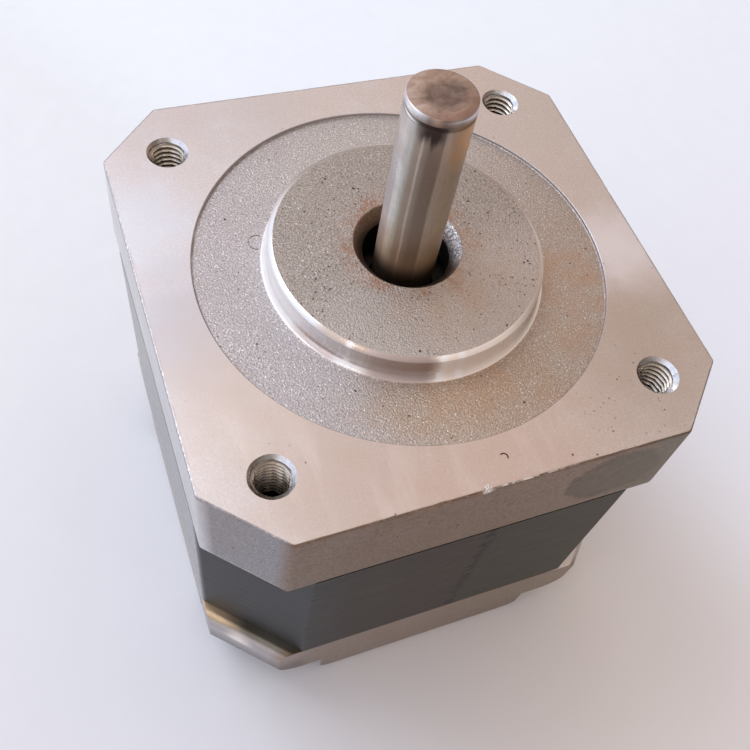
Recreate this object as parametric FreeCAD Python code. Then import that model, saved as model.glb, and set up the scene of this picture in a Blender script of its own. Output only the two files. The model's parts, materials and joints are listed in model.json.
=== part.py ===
import FreeCAD, Part
import math
import os

from FreeCAD import Rotation, Vector

# Hybrid stepper motor of the 42 mm square frame size.
# Origin: centre of the mounting face. +Z runs up the shaft, out of the motor.
# All sizes are in millimetres, all angles in degrees.

# Frame: the standard mounting interface
HOLE_PITCH = 31.0             # spacing of the four mounting holes, both ways
SCREW_MAJOR_R = 1.5           # M3 thread, major radius
TAP_DRILL_R = 1.25            # M3 thread, minor radius
PILOT_R = 11.0                # centring boss
PILOT_HEIGHT = 2.0
SHAFT_R = 2.5

# Levels along the shaft, measured from the mounting face
FACE_Z = 0.0
STACK_TOP_Z = -8.8            # the front bell meets the lamination stack
STACK_BOTTOM_Z = -27.8        # the lamination stack meets the rear cover
CORNER_PAD_Z = -33.8          # seats of the four body screw heads
REAR_Z = -38.0                # rear face of the motor
SHAFT_TIP_Z = 16.75

# Square outline, across the flats, with its corner cuts
FACE_ACROSS = 41.5
BODY_ACROSS = 41.8
REAR_ACROSS = 41.6
BELL_CORNER_CUT = 5.2
COVER_CORNER_CUT = 5.3
STACK_CORNER_CUT = 7.4

# Front bell
RECESS_R = 16.8               # as-cast ring around the boss
RECESS_DEPTH = 0.3
BOSS_EDGE_WIDTH = 0.5         # polished chamfer around the top of the boss
BOSS_EDGE_DROP = 0.22
BOSS_FOOT_R = 0.6             # concave blend from the boss wall to the recess floor
BOSS_BORE_R = 3.5
BORE_SINK_R = 4.34            # the bore's mouth is a cone
BORE_SINK_DEPTH = 1.05
BOSS_WEB_Z = -1.1             # lower end of the narrow bore
GREASE_SPACE_R = 6.3          # wider hollow between the bore and the front bearing
BELL_SEAT_Z = -2.4            # shoulder that the front bearing seats against
COUNTERSINK_R = 1.72
BODY_THREAD_TOP_Z = -5.4      # above it the tapped holes are free for the mounting screws
BELL_ROOF_Z = -3.4            # inner ceiling above the front end windings
BELL_HUB_Z = -7.6             # rim of the front bearing housing
EJECTOR_MARK_AT = (-10.85, 4.7)
EJECTOR_MARK_R = 0.75
EJECTOR_MARK_LINE = 0.1
EJECTOR_MARK_DEPTH = 0.06

# Both covers
HUB_R = 10.2                  # outside of each bearing housing
WINDING_SPACE_R = 18.6        # room for the end windings
BODY_SCREW_HOLE_R = 1.7

# Rear cover
COVER_EDGE_R = 1.2            # rounding of the outer rear edge
PAD_POCKET_R = 6.9            # pocket around each screw head
PAD_POCKET_FLARE = 1.6        # the pocket opens out towards the rear face
COVER_SHELF_Z = -32.6         # inner floor under the end windings
COVER_HUB_Z = -30.9           # rim of the rear bearing housing
COVER_GALLERY_R = 13.2        # deeper ring-shaped hollow around the bearing housing
COVER_GALLERY_Z = -36.6
COVER_SEAT_Z = -36.75         # floor under the preload washer

# Bearings, 5 x 16 x 5
BEARING_R = 8.0
BEARING_WIDTH = 5.0
BALL_R = 3.175 / 2
BALL_COUNT = 7
BALL_CIRCLE_R = 5.25
BALL_CLEARANCE = 0.02
INNER_SHOULDER_R = 3.95
OUTER_SHOULDER_R = 6.6
RING_EDGE = 0.25
SEAL_BORE_R = 4.1
SEAL_R = 7.0
SEAL_THICKNESS = 0.3
SEAL_INSET = 0.15
CAGE_INNER_R = 4.6
CAGE_OUTER_R = 5.9
CAGE_WIDTH = 3.9
CAGE_CLEARANCE = 0.05
FRONT_BEARING_Z = BELL_SEAT_Z - BEARING_WIDTH
REAR_BEARING_Z = -36.1

# Stator core
POLE_COUNT = 8
TEETH_PER_POLE = 6
TOOTH_PITCH = 7.2
TOOTH_WIDTH = 3.2
AIR_GAP = 0.1
SLOT_BOTTOM_R = 17.6
POLE_HALF_WIDTH = 2.1
POLE_NECK = 14.7
SHOE_BACK_R = 14.2
STATOR_VALLEY_DEPTH = 0.7

# Slot insulators
INSULATOR_PLATE = 0.8
INSULATOR_R = 18.4
INSULATOR_BORE_R = 13.9
LINER_THICKNESS = 0.45
LINER_INNER = 14.9
LINER_OUTER = 17.3
LINER_DEPTH = 9.3
GUARD_HEIGHT = 2.8
OUTER_GUARD_R = 17.7
INNER_GUARD_R = 14.6
GUARD_GAP_ANGLE = 11.0

# Windings
COIL_FIT = 0.05
COIL_THICKNESS = 2.5
COIL_INNER = 15.1
COIL_OUTER_R = 17.45
COIL_CORNER_R = 2.3

# Rotor
ROTOR_R = 13.0
ROTOR_TEETH = 50
ROTOR_TOOTH_DEPTH = 0.8
MAGNET_R = 11.6
MAGNET_THICKNESS = 2.4
SPACER_R = 3.8
SHAFT_REAR_Z = -35.9
SHAFT_RELIEF_R = 2.3          # turned relief above the front bearing seat
SHAFT_RELIEF_TOP_Z = -1.2
SHAFT_RELIEF_LOW_Z = -2.2
TIP_GROOVE_TOP_Z = 16.1
TIP_GROOVE_LOW_Z = 15.75
TIP_GROOVE_R = 2.34
TIP_CHAMFER = 0.17
REAR_CHAMFER = 0.4

# Preload washer
WASHER_INNER_R = 6.3
WASHER_OUTER_R = 7.85
WASHER_THICKNESS = 0.25
WASHER_WAVES = 3
WASHER_SECTIONS = 24

# Body screws, M3 pan head
SCREW_LENGTH = 28.0           # under the head
SCREW_HEAD_R = 2.75
SCREW_HEAD_HEIGHT = 2.1
SCREW_HEAD_DOME = 0.7
SCREW_TIP_CHAMFER = 0.4
CROSS_WIDTH = 0.75
CROSS_HALF_LENGTH = 1.5
CROSS_DEPTH = 1.3

# Connector on the +Y side of the rear cover
PIN_COUNT = 6
PIN_PITCH = 2.0
PIN_SIDE = 0.5
PIN_Z = -34.4
PIN_TIP_Y = 22.4
PIN_BEND_Y = 14.6
PIN_TOP_Z = -31.35
HEADER_HALF_WIDTH = 6.95
HEADER_TOP_Z = -32.35
HEADER_LOW_Z = -36.4
HEADER_BACK_Y = 16.6
HEADER_MOUTH_Y = 23.4
HEADER_WALL = 0.7
HEADER_BACK_WALL = 1.4
HEADER_KEY_AT = 3.6
HEADER_KEY_WIDTH = 1.2
HEADER_KEY_LENGTH = 2.0
HEADER_FIT = 0.05
HEADER_POCKET_Y = 13.9
BOARD_HALF_WIDTH = 7.4
BOARD_NEAR_Y = 11.0
BOARD_FAR_Y = 16.9
BOARD_TOP_Z = -31.5
BOARD_LOW_Z = -32.3

OVERRUN = 1.0                 # how far a cutting tool runs past the surface it opens
SCREW_AT = [(sx * HOLE_PITCH / 2, sy * HOLE_PITCH / 2) for sx in (-1, 1) for sy in (-1, 1)]
POLE_STEP = 360.0 / POLE_COUNT
UP = Vector(0, 0, 1)


def polar(radius, degrees, z=0.0):
    """Point at a radius and an angle about the shaft."""
    a = math.radians(degrees)
    return Vector(radius * math.cos(a), radius * math.sin(a), z)


def cylinder(radius, z_low, z_high, at=(0.0, 0.0)):
    """Upright cylinder."""
    return Part.makeCylinder(radius, z_high - z_low, Vector(at[0], at[1], z_low))


def cone(r_low, r_high, z_low, z_high, at=(0.0, 0.0)):
    """Upright cone frustum."""
    return Part.makeCone(r_low, r_high, z_high - z_low, Vector(at[0], at[1], z_low))


def tube(r_inner, r_outer, z_low, z_high):
    """Upright tube on the shaft's axis."""
    bore = cylinder(r_inner, z_low - OVERRUN, z_high + OVERRUN)
    return cylinder(r_outer, z_low, z_high).cut(bore)


def block(x_span, y_span, z_span):
    """Box between two limits on each axis."""
    corner = Vector(x_span[0], y_span[0], z_span[0])
    return Part.makeBox(x_span[1] - x_span[0], y_span[1] - y_span[0], z_span[1] - z_span[0], corner)


def lathe(outline):
    """Solid of revolution from (radius, z) corners."""
    corners = [Vector(r, 0, z) for r, z in outline]
    wire = Part.makePolygon(corners + corners[:1])
    return Part.Face(wire).revolve(Vector(0, 0, 0), UP, 360)


def prism(corners, z_low, z_high):
    """Upright prism from a closed list of points."""
    base = [Vector(p.x, p.y, z_low) for p in corners]
    return Part.Face(Part.makePolygon(base + base[:1])).extrude(UP * (z_high - z_low))


def turned(shape, degrees):
    """Copy of a shape turned about the shaft's axis."""
    copy = shape.copy()
    copy.rotate(Vector(0, 0, 0), UP, degrees)
    return copy


def mirrored_in_z(shape, level):
    """Copy of a shape reflected in a horizontal plane."""
    return shape.mirror(Vector(0, 0, level), UP)


def octagon(across, corner_cut, z):
    """Corners of a square with its corners cut off."""
    h = across / 2
    k = h - corner_cut
    around = [(h, -k), (h, k), (k, h), (-k, h), (-h, k), (-h, -k), (-k, -h), (k, -h)]
    return [Vector(x, y, z) for x, y in around]


def octagon_block(across_low, across_high, corner_cut, z_low, z_high):
    """Cut-cornered square block whose sides may taper."""
    low = octagon(across_low, corner_cut, z_low)
    high = octagon(across_high, corner_cut, z_high)
    faces = [Part.Face(Part.makePolygon(ring + ring[:1])) for ring in (low[::-1], high)]
    for i in range(len(low)):
        j = (i + 1) % len(low)
        faces.append(Part.Face(Part.makePolygon([low[i], low[j], high[j], high[i], low[i]])))
    return Part.Solid(Part.Shell(faces))


def boss_foot():
    """Ring of metal that blends the boss wall into the recess floor."""
    floor_z = -RECESS_DEPTH
    r = BOSS_FOOT_R
    ring = tube(PILOT_R - OVERRUN, PILOT_R + r, floor_z, floor_z + r)
    return ring.cut(Part.makeTorus(PILOT_R + r, r, Vector(0, 0, floor_z + r), UP))


def pilot_boss():
    """Centring boss with its polished edge and its foot."""
    wall_top = PILOT_HEIGHT - BOSS_EDGE_DROP
    body = lathe([(0, -RECESS_DEPTH), (PILOT_R, -RECESS_DEPTH), (PILOT_R, wall_top),
                  (PILOT_R - BOSS_EDGE_WIDTH, PILOT_HEIGHT), (0, PILOT_HEIGHT)])
    return body.fuse(boss_foot()).removeSplitter()


def mounting_hole(at):
    """Tapped M3 hole with its countersink; a body screw fills its lower end. A cutting tool."""
    depth = COUNTERSINK_R - TAP_DRILL_R
    free_end = cylinder(TAP_DRILL_R, BODY_THREAD_TOP_Z, OVERRUN, at)
    filled_end = cylinder(SCREW_MAJOR_R, STACK_TOP_Z - OVERRUN, BODY_THREAD_TOP_Z, at)
    sink = cone(TAP_DRILL_R, COUNTERSINK_R + OVERRUN, -depth, OVERRUN, at)
    return free_end.fuse(filled_end).fuse(sink)


def ejector_mark():
    """Thin round line left by an ejector pin in the recess floor, as a cutting tool."""
    floor_z = -RECESS_DEPTH
    low = floor_z - EJECTOR_MARK_DEPTH
    disc = cylinder(EJECTOR_MARK_R, low, floor_z + OVERRUN, EJECTOR_MARK_AT)
    core = cylinder(EJECTOR_MARK_R - EJECTOR_MARK_LINE, low, floor_z + OVERRUN, EJECTOR_MARK_AT)
    return disc.cut(core).cut(cylinder(PILOT_R + BOSS_FOOT_R, low, floor_z + OVERRUN))


def front_end_bell():
    """Front casting: mounting face, boss, front bearing housing."""
    bell = octagon_block(BODY_ACROSS, FACE_ACROSS, BELL_CORNER_CUT, STACK_TOP_Z, FACE_Z)
    bell = bell.cut(cylinder(RECESS_R, -RECESS_DEPTH, OVERRUN))
    bell = bell.fuse(pilot_boss())
    winding_space = cylinder(WINDING_SPACE_R, STACK_TOP_Z - OVERRUN, BELL_ROOF_Z)
    bell = bell.cut(winding_space.cut(cylinder(HUB_R, BELL_HUB_Z, FACE_Z)))
    bell = bell.cut(cylinder(BEARING_R, BELL_HUB_Z - OVERRUN, BELL_SEAT_Z))
    bell = bell.cut(cylinder(GREASE_SPACE_R, BELL_HUB_Z, BOSS_WEB_Z))
    bell = bell.cut(cylinder(BOSS_BORE_R, BOSS_WEB_Z - OVERRUN, PILOT_HEIGHT + OVERRUN))
    flare = (BORE_SINK_R - BOSS_BORE_R) / BORE_SINK_DEPTH
    bell = bell.cut(cone(BOSS_BORE_R, BORE_SINK_R + OVERRUN * flare,
                         PILOT_HEIGHT - BORE_SINK_DEPTH, PILOT_HEIGHT + OVERRUN))
    for at in SCREW_AT:
        bell = bell.cut(mounting_hole(at))
    return bell.cut(ejector_mark())


def pad_pocket(at):
    """Room around one body screw head, open to the corner, as a cutting tool."""
    wide_r = PAD_POCKET_R + PAD_POCKET_FLARE
    straight = cylinder(PAD_POCKET_R, REAR_Z - OVERRUN, CORNER_PAD_Z, at)
    flare = cone(wide_r, PAD_POCKET_R, REAR_Z, REAR_Z + PAD_POCKET_FLARE, at)
    return straight.fuse(flare)


def rear_end_cover():
    """Rear casting: rear bearing housing, screw seats, connector window."""
    cover = octagon_block(REAR_ACROSS, BODY_ACROSS, COVER_CORNER_CUT, REAR_Z, STACK_BOTTOM_Z)
    rear_edges = [e for e in cover.Edges if max(v.Z for v in e.Vertexes) < REAR_Z + COVER_EDGE_R]
    cover = cover.makeFillet(COVER_EDGE_R, rear_edges)
    for at in SCREW_AT:
        cover = cover.cut(pad_pocket(at))
        cover = cover.cut(cylinder(BODY_SCREW_HOLE_R, REAR_Z, STACK_BOTTOM_Z + OVERRUN, at))
    open_z = STACK_BOTTOM_Z + OVERRUN
    cover = cover.cut(tube(HUB_R, WINDING_SPACE_R, COVER_SHELF_Z, open_z))
    cover = cover.cut(tube(HUB_R, COVER_GALLERY_R, COVER_GALLERY_Z, open_z))
    cover = cover.cut(cylinder(WINDING_SPACE_R, COVER_HUB_Z, open_z))
    cover = cover.cut(cylinder(BEARING_R, COVER_SEAT_Z, open_z))
    half_width = HEADER_HALF_WIDTH + HEADER_FIT
    window = block((-half_width, half_width), (HEADER_POCKET_Y, BODY_ACROSS),
                   (HEADER_LOW_Z - HEADER_FIT, HEADER_TOP_Z + HEADER_FIT))
    return cover.cut(window)


def pole_outline(centre):
    """Edge points of one stator pole, from slot to slot; arcs are given by three points."""
    def at(along, across):
        return Vector(along, across, 0)

    def spin(point):
        return Rotation(UP, centre).multVec(point)

    shoe_half = (TEETH_PER_POLE - 1) * TOOTH_PITCH / 2 + TOOTH_WIDTH / 2
    tip_r = ROTOR_R + AIR_GAP
    root_along = math.sqrt(SLOT_BOTTOM_R ** 2 - POLE_HALF_WIDTH ** 2)
    root_angle = math.degrees(math.asin(POLE_HALF_WIDTH / SLOT_BOTTOM_R))
    mid_angle = (POLE_STEP / 2 + root_angle) / 2
    side = [at(root_along, -POLE_HALF_WIDTH), at(POLE_NECK, -POLE_HALF_WIDTH),
            polar(SHOE_BACK_R, -shoe_half)]
    teeth = []
    for i in range(TEETH_PER_POLE):
        start = i * TOOTH_PITCH - shoe_half
        teeth.append(polar(tip_r, start))
        teeth.append(polar(tip_r, start + TOOTH_WIDTH))
        if i < TEETH_PER_POLE - 1:
            teeth.append(polar(tip_r + STATOR_VALLEY_DEPTH, start + TOOTH_WIDTH))
            teeth.append(polar(tip_r + STATOR_VALLEY_DEPTH, start + TOOTH_PITCH))
    other_side = [Vector(p.x, -p.y, 0) for p in reversed(side)]
    slot_arc = (other_side[-1], polar(SLOT_BOTTOM_R, mid_angle), polar(SLOT_BOTTOM_R, POLE_STEP / 2))
    lead_arc = tuple(Vector(p.x, -p.y, 0) for p in reversed(slot_arc))
    straight = [spin(p) for p in side + teeth + other_side]
    return [spin(p) for p in lead_arc], straight, [spin(p) for p in slot_arc]


def stator_void(z_low, z_high):
    """Space inside the stator: the toothed bore and the eight slots."""
    edges = []
    for i in range(POLE_COUNT):
        lead_arc, straight, slot_arc = pole_outline(i * POLE_STEP)
        edges.append(Part.Arc(*lead_arc).toShape())
        for a, b in zip(straight, straight[1:]):
            edges.append(Part.LineSegment(a, b).toShape())
        edges.append(Part.Arc(*slot_arc).toShape())
    void = Part.Face(Part.Wire(edges)).extrude(UP * (z_high - z_low))
    void.translate(UP * z_low)
    return void


def stator_core():
    """Stack of steel laminations with eight toothed poles."""
    core = octagon_block(BODY_ACROSS, BODY_ACROSS, STACK_CORNER_CUT, STACK_BOTTOM_Z, STACK_TOP_Z)
    core = core.cut(stator_void(STACK_BOTTOM_Z - OVERRUN, STACK_TOP_Z + OVERRUN))
    for at in SCREW_AT:
        core = core.cut(cylinder(BODY_SCREW_HOLE_R, STACK_BOTTOM_Z - OVERRUN, STACK_TOP_Z + OVERRUN, at))
    return core


def front_slot_insulator():
    """Moulded liner on the front end of the stack: end plate, coil guards, slot liners."""
    plate_top = STACK_TOP_Z + INSULATOR_PLATE
    guard_top = plate_top + GUARD_HEIGHT
    plate = cylinder(INSULATOR_R, STACK_TOP_Z, plate_top)
    plate = plate.cut(stator_void(STACK_TOP_Z - OVERRUN, plate_top + OVERRUN))
    plate = plate.cut(cylinder(INSULATOR_BORE_R, STACK_TOP_Z - OVERRUN, plate_top + OVERRUN))
    inner_guard = tube(INSULATOR_BORE_R, INNER_GUARD_R, plate_top, guard_top)
    half_gap = INNER_GUARD_R * math.tan(math.radians(GUARD_GAP_ANGLE / 2))
    liner_half = POLE_HALF_WIDTH + LINER_THICKNESS
    liner_low = STACK_TOP_Z - LINER_DEPTH
    pieces = [tube(OUTER_GUARD_R, INSULATOR_R, plate_top, guard_top)]
    for i in range(POLE_COUNT):
        gap = block((0, INSULATOR_R), (-half_gap, half_gap), (plate_top, guard_top + OVERRUN))
        inner_guard = inner_guard.cut(turned(gap, (i + 0.5) * POLE_STEP))
        for sign in (-1, 1):
            span = sorted((sign * POLE_HALF_WIDTH, sign * liner_half))
            liner = block((LINER_INNER, LINER_OUTER), span, (liner_low, plate_top))
            pieces.append(turned(liner, i * POLE_STEP))
    pieces.append(inner_guard)
    return plate.multiFuse(pieces).removeSplitter()


def winding():
    """One coil around the pole that points along +X."""
    inner_half = POLE_HALF_WIDTH + LINER_THICKNESS + COIL_FIT
    outer_half = inner_half + COIL_THICKNESS
    inner_top = STACK_TOP_Z + INSULATOR_PLATE + COIL_FIT
    inner_low = STACK_BOTTOM_Z - INSULATOR_PLATE - COIL_FIT
    span = (COIL_INNER, SLOT_BOTTOM_R)
    body = block(span, (-outer_half, outer_half), (inner_low - COIL_THICKNESS, inner_top + COIL_THICKNESS))
    lengthwise = [e for e in body.Edges if e.BoundBox.XLength > SLOT_BOTTOM_R - COIL_INNER - COIL_FIT]
    body = body.makeFillet(COIL_CORNER_R, lengthwise)
    hole = block((span[0] - OVERRUN, span[1] + OVERRUN), (-inner_half, inner_half), (inner_low, inner_top))
    reach = cylinder(COIL_OUTER_R, REAR_Z, FACE_Z)
    return body.cut(hole).common(reach)


def bearing_ring(r_inner, r_outer, z_low, round_inner):
    """Blank of a bearing ring; the corners on its fitting side are broken."""
    z_high = z_low + BEARING_WIDTH
    e = RING_EDGE
    if round_inner:
        outline = [(r_inner, z_low + e), (r_inner + e, z_low), (r_outer, z_low),
                   (r_outer, z_high), (r_inner + e, z_high), (r_inner, z_high - e)]
    else:
        outline = [(r_inner, z_low), (r_outer - e, z_low), (r_outer, z_low + e),
                   (r_outer, z_high - e), (r_outer - e, z_high), (r_inner, z_high)]
    return lathe(outline)


def bearing(z_low):
    """Sealed ball bearing, as its separate pieces."""
    z_mid = z_low + BEARING_WIDTH / 2
    z_high = z_low + BEARING_WIDTH
    raceway = Part.makeTorus(BALL_CIRCLE_R, BALL_R + BALL_CLEARANCE, Vector(0, 0, z_mid), UP)
    seal_low = z_low + SEAL_INSET
    low_seal = tube(SEAL_BORE_R, SEAL_R, seal_low, seal_low + SEAL_THICKNESS)
    seals = [low_seal, mirrored_in_z(low_seal, z_mid)]
    outer = bearing_ring(OUTER_SHOULDER_R, BEARING_R, z_low, False).cut(raceway)
    seat_depth = SEAL_INSET + SEAL_THICKNESS
    outer = outer.cut(cylinder(SEAL_R, z_low - OVERRUN, z_low + seat_depth))
    outer = outer.cut(cylinder(SEAL_R, z_high - seat_depth, z_high + OVERRUN))
    inner = bearing_ring(SHAFT_R, INNER_SHOULDER_R, z_low, True).cut(raceway)
    cage = tube(CAGE_INNER_R, CAGE_OUTER_R, z_mid - CAGE_WIDTH / 2, z_mid + CAGE_WIDTH / 2)
    balls = []
    for i in range(BALL_COUNT):
        centre = polar(BALL_CIRCLE_R, i * 360.0 / BALL_COUNT, z_mid)
        balls.append(Part.makeSphere(BALL_R, centre))
        outward = polar(1.0, i * 360.0 / BALL_COUNT)
        cage = cage.cut(Part.makeCylinder(BALL_R + CAGE_CLEARANCE, BEARING_R, Vector(0, 0, z_mid), outward))
    return {"outer_ring": outer, "inner_ring": inner, "cage": cage,
            "balls": Part.makeCompound(balls), "seals": Part.makeCompound(seals)}


def rotor_cup(z_low, z_high, phase):
    """Toothed rotor half."""
    corners = []
    tooth_step = 360.0 / ROTOR_TEETH
    for i in range(ROTOR_TEETH):
        start = phase + i * tooth_step - TOOTH_WIDTH / 2
        root_r = ROTOR_R - ROTOR_TOOTH_DEPTH
        corners += [polar(ROTOR_R, start), polar(ROTOR_R, start + TOOTH_WIDTH)]
        corners += [polar(root_r, start + TOOTH_WIDTH), polar(root_r, start + tooth_step)]
    return prism(corners, z_low, z_high).cut(cylinder(SHAFT_R, z_low - OVERRUN, z_high + OVERRUN))


def rotor_shaft():
    """Round output shaft with a shallow ring groove near its tip."""
    return lathe([
        (0, SHAFT_REAR_Z), (SHAFT_R - REAR_CHAMFER, SHAFT_REAR_Z),
        (SHAFT_R, SHAFT_REAR_Z + REAR_CHAMFER), (SHAFT_R, SHAFT_RELIEF_LOW_Z),
        (SHAFT_RELIEF_R, SHAFT_RELIEF_LOW_Z), (SHAFT_RELIEF_R, SHAFT_RELIEF_TOP_Z),
        (SHAFT_R, SHAFT_RELIEF_TOP_Z), (SHAFT_R, TIP_GROOVE_LOW_Z),
        (TIP_GROOVE_R, TIP_GROOVE_LOW_Z), (TIP_GROOVE_R, TIP_GROOVE_TOP_Z),
        (SHAFT_R, TIP_GROOVE_TOP_Z), (SHAFT_R, SHAFT_TIP_Z - TIP_CHAMFER),
        (SHAFT_R - TIP_CHAMFER, SHAFT_TIP_Z), (0, SHAFT_TIP_Z)])


def preload_washer():
    """Wavy spring ring between the rear bearing and the rear cover."""
    mid_z = (REAR_BEARING_Z + COVER_SEAT_Z) / 2
    lift = (REAR_BEARING_Z - COVER_SEAT_Z - WASHER_THICKNESS) / 2
    sections = []
    for i in range(WASHER_SECTIONS):
        angle = i * 360.0 / WASHER_SECTIONS
        z = mid_z + lift * math.cos(math.radians(angle * WASHER_WAVES))
        low = z - WASHER_THICKNESS / 2
        high = z + WASHER_THICKNESS / 2
        ring = [polar(WASHER_INNER_R, angle, low), polar(WASHER_OUTER_R, angle, low),
                polar(WASHER_OUTER_R, angle, high), polar(WASHER_INNER_R, angle, high)]
        sections.append(Part.makePolygon(ring + ring[:1]))
    return Part.makeLoft(sections, True, False, True)


def body_screw(at):
    """Pan head screw that clamps the rear cover and the stack to the front bell."""
    tip_z = CORNER_PAD_Z + SCREW_LENGTH
    head_low = CORNER_PAD_Z - SCREW_HEAD_HEIGHT
    dome_r = (SCREW_HEAD_R ** 2 + SCREW_HEAD_DOME ** 2) / (2 * SCREW_HEAD_DOME)
    shank = lathe([(0, CORNER_PAD_Z), (SCREW_MAJOR_R, CORNER_PAD_Z),
                   (SCREW_MAJOR_R, tip_z - SCREW_TIP_CHAMFER),
                   (SCREW_MAJOR_R - SCREW_TIP_CHAMFER, tip_z), (0, tip_z)])
    dome = Part.makeSphere(dome_r, Vector(0, 0, head_low + dome_r))
    head = cylinder(SCREW_HEAD_R, head_low, CORNER_PAD_Z).common(dome)
    for spans in (((-CROSS_HALF_LENGTH, CROSS_HALF_LENGTH), (-CROSS_WIDTH / 2, CROSS_WIDTH / 2)),
                  ((-CROSS_WIDTH / 2, CROSS_WIDTH / 2), (-CROSS_HALF_LENGTH, CROSS_HALF_LENGTH))):
        head = head.cut(block(spans[0], spans[1], (head_low - OVERRUN, head_low + CROSS_DEPTH)))
    screw = shank.fuse(head).removeSplitter()
    screw.translate(Vector(at[0], at[1], 0))
    return screw


def connector_pin(index):
    """Square pin: it lies in the connector and turns up through the board."""
    x = (index - (PIN_COUNT - 1) / 2) * PIN_PITCH
    x_span = (x - PIN_SIDE / 2, x + PIN_SIDE / 2)
    low_z = PIN_Z - PIN_SIDE / 2
    lying = block(x_span, (PIN_BEND_Y, PIN_TIP_Y), (low_z, low_z + PIN_SIDE))
    standing = block(x_span, (PIN_BEND_Y, PIN_BEND_Y + PIN_SIDE), (low_z, PIN_TOP_Z))
    return lying.fuse(standing).removeSplitter()


def connector_housing(pins):
    """Open-fronted connector shell with two keyways in its upper wall."""
    shell = block((-HEADER_HALF_WIDTH, HEADER_HALF_WIDTH), (HEADER_BACK_Y, HEADER_MOUTH_Y),
                  (HEADER_LOW_Z, HEADER_TOP_Z))
    inner_half = HEADER_HALF_WIDTH - HEADER_WALL
    socket = block((-inner_half, inner_half), (HEADER_BACK_Y + HEADER_BACK_WALL, HEADER_MOUTH_Y + OVERRUN),
                   (HEADER_LOW_Z + HEADER_WALL, HEADER_TOP_Z - HEADER_WALL))
    shell = shell.cut(socket)
    for sign in (-1, 1):
        centre = sign * HEADER_KEY_AT
        keyway = block((centre - HEADER_KEY_WIDTH / 2, centre + HEADER_KEY_WIDTH / 2),
                       (HEADER_MOUTH_Y - HEADER_KEY_LENGTH, HEADER_MOUTH_Y + OVERRUN),
                       (HEADER_TOP_Z - HEADER_WALL - OVERRUN, HEADER_TOP_Z + OVERRUN))
        shell = shell.cut(keyway)
    for pin in pins:
        shell = shell.cut(pin)
    return shell


def connector_board(pins):
    """Small circuit board that joins the winding ends to the connector."""
    board = block((-BOARD_HALF_WIDTH, BOARD_HALF_WIDTH), (BOARD_NEAR_Y, BOARD_FAR_Y),
                  (BOARD_LOW_Z, BOARD_TOP_Z))
    for pin in pins:
        board = board.cut(pin)
    return board


def build():
    """Every node of the motor, by name."""
    nodes = {}
    nodes["front_end_bell"] = front_end_bell()
    nodes["rear_end_cover"] = rear_end_cover()
    nodes["stator_core"] = stator_core()
    insulator = front_slot_insulator()
    nodes["front_slot_insulator"] = insulator
    nodes["rear_slot_insulator"] = mirrored_in_z(insulator, (STACK_TOP_Z + STACK_BOTTOM_Z) / 2)
    coil = winding()
    for i in range(POLE_COUNT):
        nodes["coil_%d" % (i + 1)] = turned(coil, i * POLE_STEP)
    for place, z_low in (("front", FRONT_BEARING_Z), ("rear", REAR_BEARING_Z)):
        for piece, shape in bearing(z_low).items():
            nodes["%s_bearing_%s" % (place, piece)] = shape
    nodes["preload_washer"] = preload_washer()
    nodes["body_screws"] = Part.makeCompound([body_screw(at) for at in SCREW_AT])

    magnet_top = (STACK_TOP_Z + STACK_BOTTOM_Z + MAGNET_THICKNESS) / 2
    magnet_low = magnet_top - MAGNET_THICKNESS
    half_pitch = 180.0 / ROTOR_TEETH
    nodes["rotor_shaft"] = rotor_shaft()
    nodes["front_rotor_cup"] = rotor_cup(magnet_top, STACK_TOP_Z, 0.0)
    nodes["rear_rotor_cup"] = rotor_cup(STACK_BOTTOM_Z, magnet_low, half_pitch)
    nodes["rotor_magnet"] = tube(SHAFT_R, MAGNET_R, magnet_low, magnet_top)
    nodes["front_rotor_spacer"] = tube(SHAFT_R, SPACER_R, STACK_TOP_Z, FRONT_BEARING_Z)
    nodes["rear_rotor_spacer"] = tube(SHAFT_R, SPACER_R, REAR_BEARING_Z + BEARING_WIDTH, STACK_BOTTOM_Z)

    pins = [connector_pin(i) for i in range(PIN_COUNT)]
    nodes["connector_pins"] = Part.makeCompound(pins)
    nodes["connector_housing"] = connector_housing(pins)
    nodes["connector_board"] = connector_board(pins)
    return nodes


def main():
    os.makedirs("parts", exist_ok=True)
    for name, shape in build().items():
        solids = shape.Solids
        if not shape.isValid() or not solids or min(s.Volume for s in solids) <= 0:
            raise ValueError("%s is not a valid solid" % name)
        print("%-26s solids %d  volume %9.2f mm3" % (name, len(solids), sum(s.Volume for s in solids)))
        shape.exportStep("parts/%s.step" % name)


main()
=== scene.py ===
import json
import math
import random

import bmesh
import bpy
from mathutils import Matrix, Vector, noise
from mathutils.geometry import tessellate_polygon


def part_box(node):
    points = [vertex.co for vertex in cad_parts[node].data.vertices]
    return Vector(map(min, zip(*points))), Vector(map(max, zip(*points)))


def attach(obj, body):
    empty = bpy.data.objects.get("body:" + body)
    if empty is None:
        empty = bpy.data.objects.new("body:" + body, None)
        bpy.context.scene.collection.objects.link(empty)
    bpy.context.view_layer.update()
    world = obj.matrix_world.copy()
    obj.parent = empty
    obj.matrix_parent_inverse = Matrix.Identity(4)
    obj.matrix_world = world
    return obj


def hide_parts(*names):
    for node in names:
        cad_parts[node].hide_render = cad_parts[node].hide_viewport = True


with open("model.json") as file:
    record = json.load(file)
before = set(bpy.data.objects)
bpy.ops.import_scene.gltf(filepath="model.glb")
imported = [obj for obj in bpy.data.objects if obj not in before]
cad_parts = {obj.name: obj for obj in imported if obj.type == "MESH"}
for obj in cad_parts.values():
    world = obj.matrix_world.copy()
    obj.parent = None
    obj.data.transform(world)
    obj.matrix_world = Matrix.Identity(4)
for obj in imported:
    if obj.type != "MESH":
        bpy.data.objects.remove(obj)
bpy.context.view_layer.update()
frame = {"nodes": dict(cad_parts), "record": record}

rng = random.Random(42)
MM = 0.001
RECORD = frame["record"]


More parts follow.
